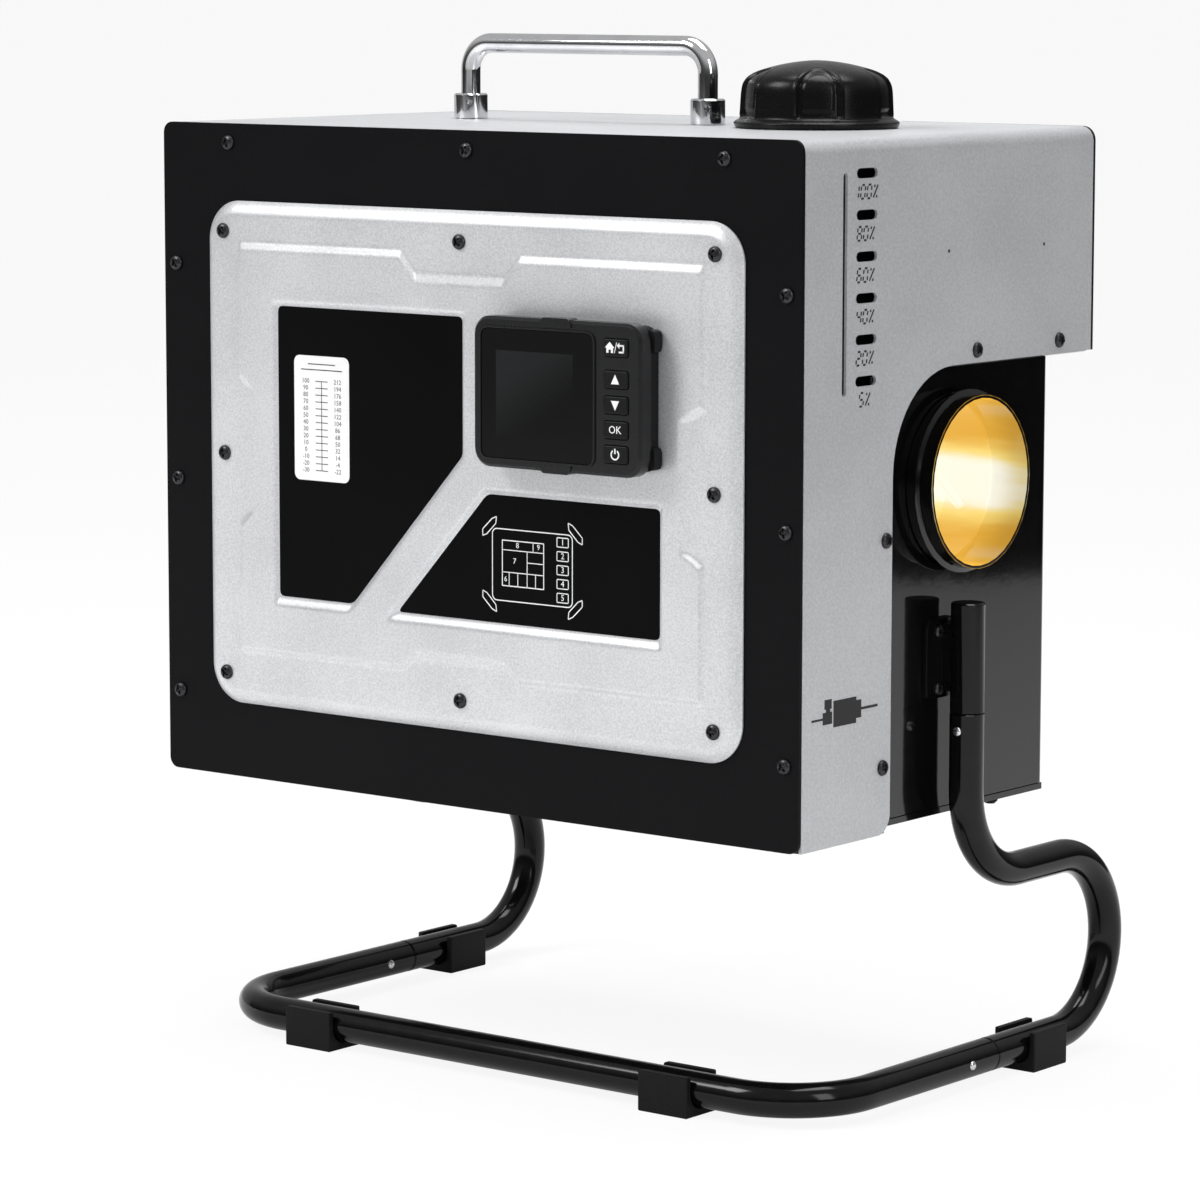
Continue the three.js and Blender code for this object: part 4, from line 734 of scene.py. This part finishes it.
def words(name, text, size, place, finish, spacing=1.0, body="heater"):
    curve = bpy.data.curves.new(name, "FONT")
    curve.body = text
    curve.size = size * mm
    curve.align_x = "CENTER"
    curve.align_y = "CENTER"
    curve.space_line = spacing
    curve.extrude = 0.02 * mm
    curve.resolution_u = 2
    holder = bpy.data.objects.new(name + "Curve", curve)
    bpy.context.collection.objects.link(holder)
    bpy.context.view_layer.update()
    shape = holder.evaluated_get(bpy.context.evaluated_depsgraph_get())
    mesh = bpy.data.meshes.new_from_object(shape)
    mesh.materials.clear()
    bpy.data.objects.remove(holder)
    piece(name, mesh, finish, body, smooth=False).matrix_world = facing(place, (0, -1, 0))


# A temperature scale: a white card with a line, its marks and plain numbers
scale = {
    "middle": (110.1, 187.0), "size": (36.2, 62.3), "corner": 3.5, "cardThick": 0.05, "inkThick": 0.04,
    "top": 18.5, "bottom": -26, "mark": 4, "line": 0.4, "heading": [(13.5, 24.2), (9, 27)], "headingLine": 0.5,
    "celsius": range(100, -31, -10), "figures": 3.3, "column": 10.5,
}
cx, cz = scale["middle"]
card = [roundOutline(*scale["size"], scale["corner"])]
printed("scaleCard", card, scale["cardThick"], "whitePrint", at(cx, printFace, cz))
pitch = (scale["top"] - scale["bottom"]) / (len(scale["celsius"]) - 1)
ticks = [bar(0, scale["bottom"], 0, scale["top"], scale["line"])]
for k in range(len(scale["celsius"])):
    height = scale["bottom"] + k * pitch
    ticks.append(bar(-scale["mark"], height, scale["mark"], height, scale["line"]))
ticks += [bar(-half, height, half, height, scale["headingLine"]) for half, height in scale["heading"]]
printed("scaleMarks", ticks, scale["inkThick"], "blackPrintAndHoleShade", at(cx, printFace - scale["cardThick"], cz))
fahrenheit = [round(c * 1.8 + 32) for c in scale["celsius"]]
for name, values, side in (("scaleLeft", scale["celsius"], -1), ("scaleRight", fahrenheit, 1)):
    text = "\n".join(str(value) for value in values)
    height = cz + (scale["top"] + scale["bottom"]) / 2
    place = at(cx + side * scale["column"], printFace - 0.06, height)
    words(name, text, scale["figures"], place, "blackPrintAndHoleShade", spacing=pitch / scale["figures"])

# A plan of the control unit with numbered keys
plan = {
    "middle": (244.6, 123.2), "frame": (50, 35.4, 3, 0.5), "screen": (26.2, 22.6), "screenAt": (-5.7, 1.0),
    "line": 0.4, "keys": 5, "keyAt": (18.8, 13.5), "keyPitch": 6.7, "keyFrame": (7.4, 4.9, 0.7, 0.45),
    "fins": [(22.2, 23.2), (25.0, 22.0), (30.8, 16.6), (30.8, 13.4), (28.2, 14.4), (22.6, 19.8)],
    "finLine": 0.5,
    "areas": {"6": (-10.8, -7.8), "7": (-5.2, 1.2), "8": (-3.4, 8.9), "9": (9.6, 8.9)},
    "keyFigures": 4.2, "areaFigures": 3.8, "thick": 0.04, "over": 0.02,
}
px, pz = plan["middle"]
sx, sz = plan["screenAt"]
halfWide, halfHigh = (side / 2 for side in plan["screen"])
drawing = frameOf(*plan["frame"]) + shifted(frameOf(*plan["screen"], 0.5, 0.5), sx, sz)
ruled = [(-halfWide, 6.4, halfWide, 6.4), (6.3, 6.4, 6.3, halfHigh), (2.6, -4.4, 2.6, 6.4),
         (2.6, 1.0, halfWide, 1.0), (-halfWide, -4.4, halfWide, -4.4)]
ruled += [(x, -halfHigh, x, -4.4) for x in (-8.6, -3.2, 2.6, 7.8)]
drawing += shifted([bar(*line, plan["line"]) for line in ruled], sx, sz)
keySpots = [(plan["keyAt"][0], plan["keyAt"][1] - plan["keyPitch"] * k) for k in range(plan["keys"])]
for dx, dz in keySpots:
    drawing += shifted(frameOf(*plan["keyFrame"]), dx, dz)
for across in (-1, 1):
    for tall in (-1, 1):
        fin = [(across * x, tall * y) for x, y in plan["fins"]]
        drawing += [bar(*start, *end, plan["finLine"]) for start, end in zip(fin, fin[1:] + fin[:1])]
printed("keyPlan", drawing, plan["thick"], "whitePrint", at(px, printFace, pz))
for k, (dx, dz) in enumerate(keySpots, 1):
    place = at(px + dx, printFace - plan["over"], pz + dz)
    words(f"planKey{k}", str(k), plan["keyFigures"], place, "whitePrint")
for text, (dx, dz) in plan["areas"].items():
    place = at(px + sx + dx, printFace - plan["over"], pz + sz + dz)
    words("planArea" + text, text, plan["areaFigures"], place, "whitePrint")
print("labels laid")

# Signs on the keys of the control unit
sign = {
    "thick": 0.04, "okSize": 5.2,
    "powerFrom": 125, "powerSweep": 290, "powerSteps": 14, "powerRing": (1.9, 2.6),
}
signs = {
    "home": [
        [(-6.1, 0.0), (-3.2, 2.8), (-0.4, 0.0), (-1.2, 0.0), (-1.2, -2.4), (-2.5, -2.4), (-2.5, -0.9),
         (-3.9, -0.9), (-3.9, -2.4), (-5.2, -2.4), (-5.2, 0.0)],
        bar(-0.4, -2.4, 0.9, 2.6, 0.35),
        bar(2.2, 1.2, 4.9, 1.2, 0.8),
        bar(4.9, 1.6, 4.9, -2.1, 0.8),
        bar(5.3, -1.9, 2.2, -1.9, 0.8),
        [(2.6, -0.3), (2.6, 2.7), (1.0, 1.2)],
    ],
    "up": [[(-2.4, -2.1), (2.4, -2.1), (0, 2.5)]],
    "down": [[(-2.4, 2.1), (0, -2.5), (2.4, 2.1)]],
    "power": [bar(0, 0.4, 0, 2.9, 0.75)],
}
inner, outer = sign["powerRing"]
turns = [math.radians(sign["powerFrom"] + sign["powerSweep"] * k / sign["powerSteps"])
         for k in range(sign["powerSteps"] + 1)]
for start, end in zip(turns, turns[1:]):
    arc = ((inner, start), (outer, start), (outer, end), (inner, end))
    signs["power"].append([(r * math.cos(a), r * math.sin(a)) for r, a in arc])


# the middle of a key's face
def keyFace(name):
    low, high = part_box(f"{name}_button")
    return Vector(((low.x + high.x) / 2, low.y, (low.z + high.z) / 2))


for name, outlines in signs.items():
    printed(f"{name}Sign", outlines, sign["thick"], "whitePrint", keyFace(name), body=f"{name}_key")
words("okSign", "OK", sign["okSize"], keyFace("ok"), "whitePrint", body="ok_key")

# The unit's sound slots, as black films of painted shade, and the joint lines of its two latches
unitLow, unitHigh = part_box("unit_case")
bodyFace = unitLow.y + unit["faceInset"] * mm
oneSlot = [roundOutline(*unit["slotSize"], 0.3, 2)]
slots = [shifted(oneSlot, k * unit["slotPitch"], 0)[0] for k in range(unit["slots"])]
place = at(unit["slotStart"][0], 0, unit["slotStart"][1])
printed("soundSlots", slots, 0.03, "blackPrintAndHoleShade", Vector((place.x, bodyFace, place.z)))
half, slant, reach = unit["latch"]
for name, edge, away in (("upperLatch", unitHigh.z, -1), ("lowerLatch", unitLow.z, 1)):
    path = [(-half, 0), (-half + slant, away * reach), (half - slant, away * reach), (half, 0)]
    latch = [bar(*start, *end, unit["latchLine"]) for start, end in zip(path, path[1:])]
    place = Vector((at(unit["latchX"], 0, 0).x, bodyFace, edge + away * unit["latchInset"] * mm))
    printed(name, latch, 0.03, "blackPrintAndHoleShade", place)
print("control unit dressed")

# The filler cap, with five arched grip recesses that run up its rounded shoulder
capLow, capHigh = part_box("fuel_cap")
capMiddle = (capLow + capHigh) / 2
cap = {
    "grips": 5, "first": -53, "half": 10.75, "archTop": 29.5, "foot": 5.2, "depth": 2.1, "slope": 1.1,
    "lip": 0.45, "lipWide": 1.3, "panelIn": 2.7, "panelRise": 0.55, "panelSlope": 0.6, "footSlope": 0.8,
    "columns": 300, "pitch": 0.8, "flatTop": 18,
    "side": [(0.35, 39.6), (0.6, 40.2), (2.3, 40.75), (3.0, 40.6), (3.9, 39.4), (4.6, 38.1), (5.4, 37.45),
             (12.0, 37.1), (19.0, 36.7), (22.6, 35.6), (25.2, 33.4), (27.1, 30.2), (28.6, 26.4), (30.4, 20.0),
             (31.9, 12.5), (32.8, 5.0), (33.0, 0.0)],
    "inside": [(24.2, 0.0), (24.2, 28.6), (22.6, 30.0), (19.0, 31.8), (6.0, 32.2), (0.35, 32.2)],
}


# cuts the corners of a line of (height, radius) until it is smooth
def smoothProfile(points, rounds):
    for _ in range(rounds):
        finer = [points[0]]
        for (z0, r0), (z1, r1) in zip(points, points[1:]):
            finer.append((0.75 * z0 + 0.25 * z1, 0.75 * r0 + 0.25 * r1))
            finer.append((0.25 * z0 + 0.75 * z1, 0.25 * r0 + 0.75 * r1))
        points = finer + [points[-1]]
    return points


# 0 to 1 with eased ends
def softStep(t, ease=0.2):
    t = min(max(t, 0), 1)
    slope = 1 / (1 - ease)
    if t < ease:
        return slope * t * t / (2 * ease)
    if t > 1 - ease:
        return 1 - slope * (1 - t) ** 2 / (2 * ease)
    return slope * (t - ease / 2)


def gripShift(radius, z, angle):
    pitchAngle = 2 * math.pi / cap["grips"]
    offset = (angle - math.radians(cap["first"]) + pitchAngle / 2) % pitchAngle - pitchAngle / 2
    s = radius * math.sin(offset)
    middleZ = cap["archTop"] - cap["half"]
    if z < middleZ:
        inward = cap["half"] - abs(s)
    else:
        inward = cap["half"] - math.hypot(s, z - middleZ)
    foot = (z - cap["foot"]) * cap["footSlope"]
    shift = -cap["depth"] * softStep(min(inward, foot) / cap["slope"])
    shift += cap["panelRise"] * softStep((min(inward, foot) - cap["panelIn"]) / cap["panelSlope"])
    if -cap["lipWide"] < inward < 0 and foot > 0:
        shift += cap["lip"] * math.sin(-inward / cap["lipWide"] * math.pi) * min(foot, 1)
    return shift


line = smoothProfile(cap["side"], 2)
outside = []
for (z0, r0), (z1, r1) in zip(line, line[1:]):
    parts = max(1, round(math.hypot(z1 - z0, r1 - r0) / cap["pitch"]))
    outside += [(z0 + (z1 - z0) * k / parts, r0 + (r1 - r0) * k / parts) for k in range(parts)]
bm = bmesh.new()
rows = []
for z, r in outside[:-1]:
    row = []
    for a in circle(cap["columns"]):
        grown = r + (gripShift(r, z, a) if r > cap["flatTop"] else 0)
        row.append(bm.verts.new(spot(grown * math.cos(a), grown * math.sin(a), z)))
    rows.append(row)
lining = []
for z, r in cap["inside"][1:]:
    lining.append([bm.verts.new(spot(r * math.cos(a), r * math.sin(a), z)) for a in circle(cap["columns"])])
for lower, upper in list(zip(rows, rows[1:])) + list(zip(lining, lining[1:])) + [(lining[-1], rows[0])]:
    joinRings(bm, lower, upper)
joinTip(bm, rows[-1], bm.verts.new(spot(0, 0, cap["side"][-1][0])))
joinTip(bm, lining[0], bm.verts.new(spot(0, 0, cap["inside"][0][0])))
bmesh.ops.recalc_face_normals(bm, faces=bm.faces)
capShell = piece("capShell", closeMesh("capShell", bm), "capPlastic", "cap")
capShell.matrix_world = Matrix.Translation(Vector((capMiddle.x, capMiddle.y, plateHigh.z)))
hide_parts("fuel_cap")
print("cap turned")

# Bent tubes: the handle, and the stand's two legs and bow
tubes = {
    "handleTube": dict(node="handle_bar", finish="chrome", radius=5.0, bend=14, ends=0.3,
                       corners=[(88, 138, 334.1), (88, 138, 370.6), (241.7, 138, 370.6), (241.7, 138, 334.1)]),
    "bowTube": dict(node="stand_bow", finish="standBlack", radius=8.5, bend=45, ends=0.7,
                    corners=[(402, 156, -122.5), (402, 9.5, -122.5), (24, 9.5, -122.5), (24, 156, -122.5)]),
}
for side, x in (("right", 402), ("left", 24)):
    tubes[f"{side}LegTube"] = dict(
        node=f"stand_leg_{side}", finish="standBlack", radius=8.5, bend=45, ends=0.7,
        corners=[(x, 136.5, 51), (x, 136.5, -32.5), (x, 264.5, -32.5), (x, 264.5, -122.5), (x, 156.3, -122.5)],
    )
tubeDetail = {"sides": 40, "turn": 5}


# a line through the corners with an arc at each one, as points with their directions
def bentLine(corners, bend):
    points = [Vector(corner) for corner in corners]
    line = [(points[0], (points[1] - points[0]).normalized())]
    for before, corner, after in zip(points, points[1:], points[2:]):
        come, go = (corner - before).normalized(), (after - corner).normalized()
        half = come.angle(go) / 2
        start = corner - come * bend * math.tan(half)
        centre = start + (go - come * come.dot(go)).normalized() * bend
        axis = come.cross(go).normalized()
        steps = math.ceil(math.degrees(half) * 2 / tubeDetail["turn"])
        for k in range(steps + 1):
            turned = Matrix.Rotation(2 * half * k / steps, 3, axis)
            line.append((centre + turned @ (start - centre), turned @ come))
    line.append((points[-1], (points[-1] - points[-2]).normalized()))
    return line


def tubeMesh(name, look):
    line = bentLine(look["corners"], look["bend"])
    (first, along), (last, onward) = line[0], line[-1]
    ease = look["ends"]
    rings = [(first, along, look["radius"] - ease), (first + along * ease, along, look["radius"])]
    rings += [(point, way, look["radius"]) for point, way in line[1:-1]]
    rings += [(last - onward * ease, onward, look["radius"]), (last, onward, look["radius"] - ease)]
    bm = bmesh.new()
    side = along.orthogonal().normalized()
    before = along
    rows = []
    for point, way, radius in rings:
        side = before.rotation_difference(way) @ side
        side = (side - way * side.dot(way)).normalized()
        other = way.cross(side)
        before = way
        row = [point + (side * math.cos(a) + other * math.sin(a)) * radius for a in circle(tubeDetail["sides"])]
        rows.append([bm.verts.new(corner * mm) for corner in row])
    for lower, upper in zip(rows, rows[1:]):
        joinRings(bm, lower, upper)
    bm.faces.new(list(reversed(rows[0])))
    bm.faces.new(rows[-1])
    return closeMesh(name, bm)


for name, look in tubes.items():
    tube = piece(name, tubeMesh(name, look), look["finish"])
    tube.matrix_world = Matrix.Translation(plateLow)
    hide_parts(look["node"])
print("tubes bent")

# The bezel's face: a sloped rim, a raised middle with four ramped notches, and two recesses for the films
bezel = {
    "left": 32.2, "right": 368.2, "bottom": 38.4, "top": 293.1, "corner": 20,
    "face": 5.0, "back": 0.3, "rim": 7.0, "rimDrop": 3.9, "pitch": 1.0, "weld": 0.05, "sliver": 0.02,
    "rise": 1.5, "ramp": 7.0, "mitre": 3.0, "recessFace": 4.6, "recessRun": 2.6, "recessFoot": 5.0,
}
raised = {"left": 57.4, "right": 346.2, "bottom": 68.0, "top": 268.8}
raisedRuns = {"left": 2.3, "right": 2.3, "bottom": 2.1, "top": 4.6}
notches = [  # inner edge's ends, then how far its slanting sides lead out
    [(172.8, 256.2), (226.8, 256.2), (162.2, 268.8), (237.4, 268.8)],
    [(226.8, 77.5), (172.8, 77.5), (237.4, 68.0), (162.2, 68.0)],
    [(66.0, 137.8), (66.0, 199.0), (57.4, 129.9), (57.4, 206.9)],
    [(333.5, 199.0), (333.5, 137.8), (346.2, 206.9), (346.2, 129.9)],
]


# how far a point lies to the right of the line from one point to another
def rightOf(x, z, start, end):
    ex, ez = end[0] - start[0], end[1] - start[1]
    return ((x - start[0]) * ez - (z - start[1]) * ex) / math.hypot(ex, ez)


# a slope that pauses half way up
def twoStep(t):
    return 0.5 * softStep(2 * t) + 0.5 * softStep(2 * t - 1)


def raisedHeight(x, z):
    gaps = (x - raised["left"], raised["right"] - x, z - raised["bottom"], raised["top"] - z)
    over = [max(0, -gap / run) for gap, run in zip(gaps, raisedRuns.values())]
    height = twoStep(1 - math.hypot(*over))
    for start, end, startOut, endOut in notches:
        inner = 1 + rightOf(x, z, start, end) / bezel["ramp"]
        low = 1 + rightOf(x, z, startOut, start) / bezel["mitre"]
        high = 1 + rightOf(x, z, end, endOut) / bezel["mitre"]
        height = min(height, softStep(max(inner, low, high)))
    return height * bezel["rise"]


# 1 on a recess's floor, 0 outside its slopes; the lower slope is the longest
def recessShare(x, z, outline):
    over = 0
    for start, end in zip(outline, outline[1:] + outline[:1]):
        run = bezel["recessFoot"] if start[1] == end[1] and start[0] < end[0] else bezel["recessRun"]
        over += max(0, rightOf(x, z, start, end) / run) ** 3
    return 1 - softStep(over ** (1 / 3))


# how far in from the bezel's outer edge
def rimDepth(x, z):
    corner = bezel["corner"]
    dx = max(bezel["left"] + corner - x, x - bezel["right"] + corner)
    dz = max(bezel["bottom"] + corner - z, z - bezel["top"] + corner)
    return corner - (math.hypot(dx, dz) if dx > 0 and dz > 0 else max(dx, dz))


def bezelFace(x, z):
    face = bezel["face"] + raisedHeight(x, z)
    for outline in labelOutlines.values():
        share = recessShare(x, z, outline)
        face += (bezel["recessFace"] - face) * share
    out = 1 - rimDepth(x, z) / bezel["rim"]
    if out > 0:
        face -= bezel["rimDrop"] * (0.5 * softStep(out, 0.1) + 0.5 * out**3)
    return face


# pulls a point outside a rounded corner back onto it
def ontoCorner(x, z):
    corner = bezel["corner"]
    cx = min(max(x, bezel["left"] + corner), bezel["right"] - corner)
    cz = min(max(z, bezel["bottom"] + corner), bezel["top"] - corner)
    reach = math.hypot(x - cx, z - cz)
    if reach <= corner:
        return x, z
    return cx + (x - cx) * corner / reach, cz + (z - cz) * corner / reach


across = math.ceil((bezel["right"] - bezel["left"]) / bezel["pitch"])
upward = math.ceil((bezel["top"] - bezel["bottom"]) / bezel["pitch"])
points = []
for i in range(upward + 1):
    for k in range(across + 1):
        x = bezel["left"] + (bezel["right"] - bezel["left"]) * k / across
        z = bezel["bottom"] + (bezel["top"] - bezel["bottom"]) * i / upward
        x, z = ontoCorner(x, z)
        points.append(spot(x, -bezelFace(x, z), z))
faces = []
for i in range(upward):
    for k in range(across):
        a = i * (across + 1) + k
        faces.append((a, a + 1, a + across + 2, a + across + 1))
bezelMesh = bpy.data.meshes.new("bezelPlate")
bezelMesh.from_pydata(points, [], faces)
bm = bmesh.new()
bm.from_mesh(bezelMesh)
bmesh.ops.remove_doubles(bm, verts=bm.verts, dist=bezel["weld"] * mm)
bmesh.ops.dissolve_degenerate(bm, dist=bezel["sliver"] * mm, edges=bm.edges)
rim = [edge for edge in bm.edges if edge.is_boundary]
for grown in bmesh.ops.extrude_edge_only(bm, edges=rim)["geom"]:
    if isinstance(grown, bmesh.types.BMVert):
        grown.co.y = -bezel["back"] * mm
bmesh.ops.contextual_create(bm, geom=[edge for edge in bm.edges if edge.is_boundary])
bmesh.ops.recalc_face_normals(bm, faces=bm.faces)
bm.to_mesh(bezelMesh)
bm.free()
bezelPlate = piece("bezelPlate", bezelMesh, "bezelSilver")
bezelPlate.matrix_world = Matrix.Translation(plateLow)
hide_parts("front_bezel")
print("bezel pressed:", len(bezelMesh.vertices), "points")

# Each piece rides its body.
for obj, body in made:
    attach(obj, body)

# The floor curves up behind the part and ends on the right, so black paint there mirrors a dark room.
room = {
    "own": 0.9, "mirrored": 0.3, "colour": (0.9, 0.9, 0.9), "turn": 38.3,
    "reach": 12.0, "right": 2.0, "wall": 6.0, "curve": 2.0, "curveSteps": 12, "high": 6.0,
}


def backdropFinish():
    f = Finish(bpy.data.materials.new("backdrop"))
    path = f.node("ShaderNodeLightPath", out="Is Camera Ray")
    seen = path + (path.out("Is Glossy Ray") + path.out("Is Transmission Ray")) * room["mirrored"]
    diffuse = f.node("ShaderNodeBsdfDiffuse", None, {"Color": room["colour"]})
    light = f.node("ShaderNodeEmission", None, {"Color": (1, 1, 1), "Strength": 1.0})
    return f.close(f.node("ShaderNodeMixShader", None, {0: seen * room["own"], 1: diffuse, 2: light}))


profile = [(-room["reach"], 0.0), (room["wall"], 0.0)]
for k in range(1, room["curveSteps"] + 1):
    angle = math.pi / 2 * k / room["curveSteps"]
    profile.append((room["wall"] + room["curve"] * math.sin(angle), room["curve"] * (1 - math.cos(angle))))
profile.append((room["wall"] + room["curve"], room["high"]))
bm = bmesh.new()
left, right = [[bm.verts.new((x, y, z)) for y, z in profile] for x in (-room["reach"], room["right"])]
for k in range(len(profile) - 1):
    bm.faces.new((left[k], right[k], right[k + 1], left[k + 1]))
sweep = closeMesh("backdrop", bm)
for face in sweep.polygons:
    face.use_smooth = True
sweep.materials.append(backdropFinish())
backdrop = bpy.data.objects.new("backdrop", sweep)
bpy.context.collection.objects.link(backdrop)
backdrop.matrix_world = Matrix.Rotation(math.radians(room["turn"]), 4, "Z")
backdrop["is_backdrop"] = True

# A sky that grows lighter upwards over a dark ground, and is white for the camera
sky = {"low": 0.05, "high": 0.5, "horizon": 0.02, "top": 0.55, "ground": 0.02}
world = bpy.data.worlds.new("studio")
bpy.context.scene.world = world
f = Finish(world)
rise = f.axes(f.place.out("Generated"))[2]
lifted = f.ease(rise, sky["horizon"], sky["top"], sky["low"], sky["high"]) * (rise > 0) + sky["ground"]
seen = f.node("ShaderNodeLightPath", out="Is Camera Ray")
background = f.node("ShaderNodeBackground", None, {"Color": (1, 1, 1), "Strength": lifted * (1 - seen) + seen})
f.close(background, "ShaderNodeOutputWorld")

middle = (Vector(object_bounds()[0]) + Vector(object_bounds()[1])) / 2
lamps = {
    "key": dict(place=(-1.3, -1.9, 2.3), size=(1.1, 1.1), power=52),
    "rightFill": dict(place=(2.3, -0.7, 1.3), size=(0.7, 1.6), power=16),
    "top": dict(place=(0.1, 0.3, 2.4), size=(1.6, 1.2), power=42),
}
for name, lamp in lamps.items():
    data = bpy.data.lights.new(name, "AREA")
    data.shape = "RECTANGLE"
    data.size, data.size_y = lamp["size"]
    data.energy = lamp["power"]
    obj = bpy.data.objects.new(name, data)
    bpy.context.collection.objects.link(obj)
    place = Vector(lamp["place"])
    aim = (middle - place).to_track_quat("-Z", "Y")
    obj.matrix_world = Matrix.Translation(place) @ aim.to_matrix().to_4x4()

# The photograph's view: degrees, metres from the case's corner, and the focal length in its pixels
view = {
    "azimuth": 38.2727, "elevation": 7.598, "roll": 0.0744, "distance": 2.4774, "right": 0.22188, "up": 0.0858,
    "focal": 4795.95, "image": 1200, "sensor": 36, "near": 0.05, "far": 60,
}
az, el, roll = (math.radians(view[key]) for key in ("azimuth", "elevation", "roll"))
back = Vector((math.sin(az) * math.cos(el), -math.cos(az) * math.cos(el), math.sin(el)))
levelRight = Vector((math.cos(az), math.sin(az), 0))
levelUp = back.cross(levelRight)
right = levelRight * math.cos(roll) + levelUp * math.sin(roll)
up = levelUp * math.cos(roll) - levelRight * math.sin(roll)
lens = bpy.data.cameras.new("camera")
lens.sensor_width = view["sensor"]
lens.lens = view["focal"] / view["image"] * view["sensor"]
lens.clip_start = view["near"]
lens.clip_end = view["far"]
camera = bpy.data.objects.new("camera", lens)
bpy.context.collection.objects.link(camera)
eye = plateLow + back * view["distance"] + right * view["right"] + up * view["up"]
camera.matrix_world = Matrix.Translation(eye) @ Matrix((right, up, back)).transposed().to_4x4()
bpy.context.scene.camera = camera
bpy.context.scene.view_settings.view_transform = "Standard"
print("room lit")

bpy.context.view_layer.update()
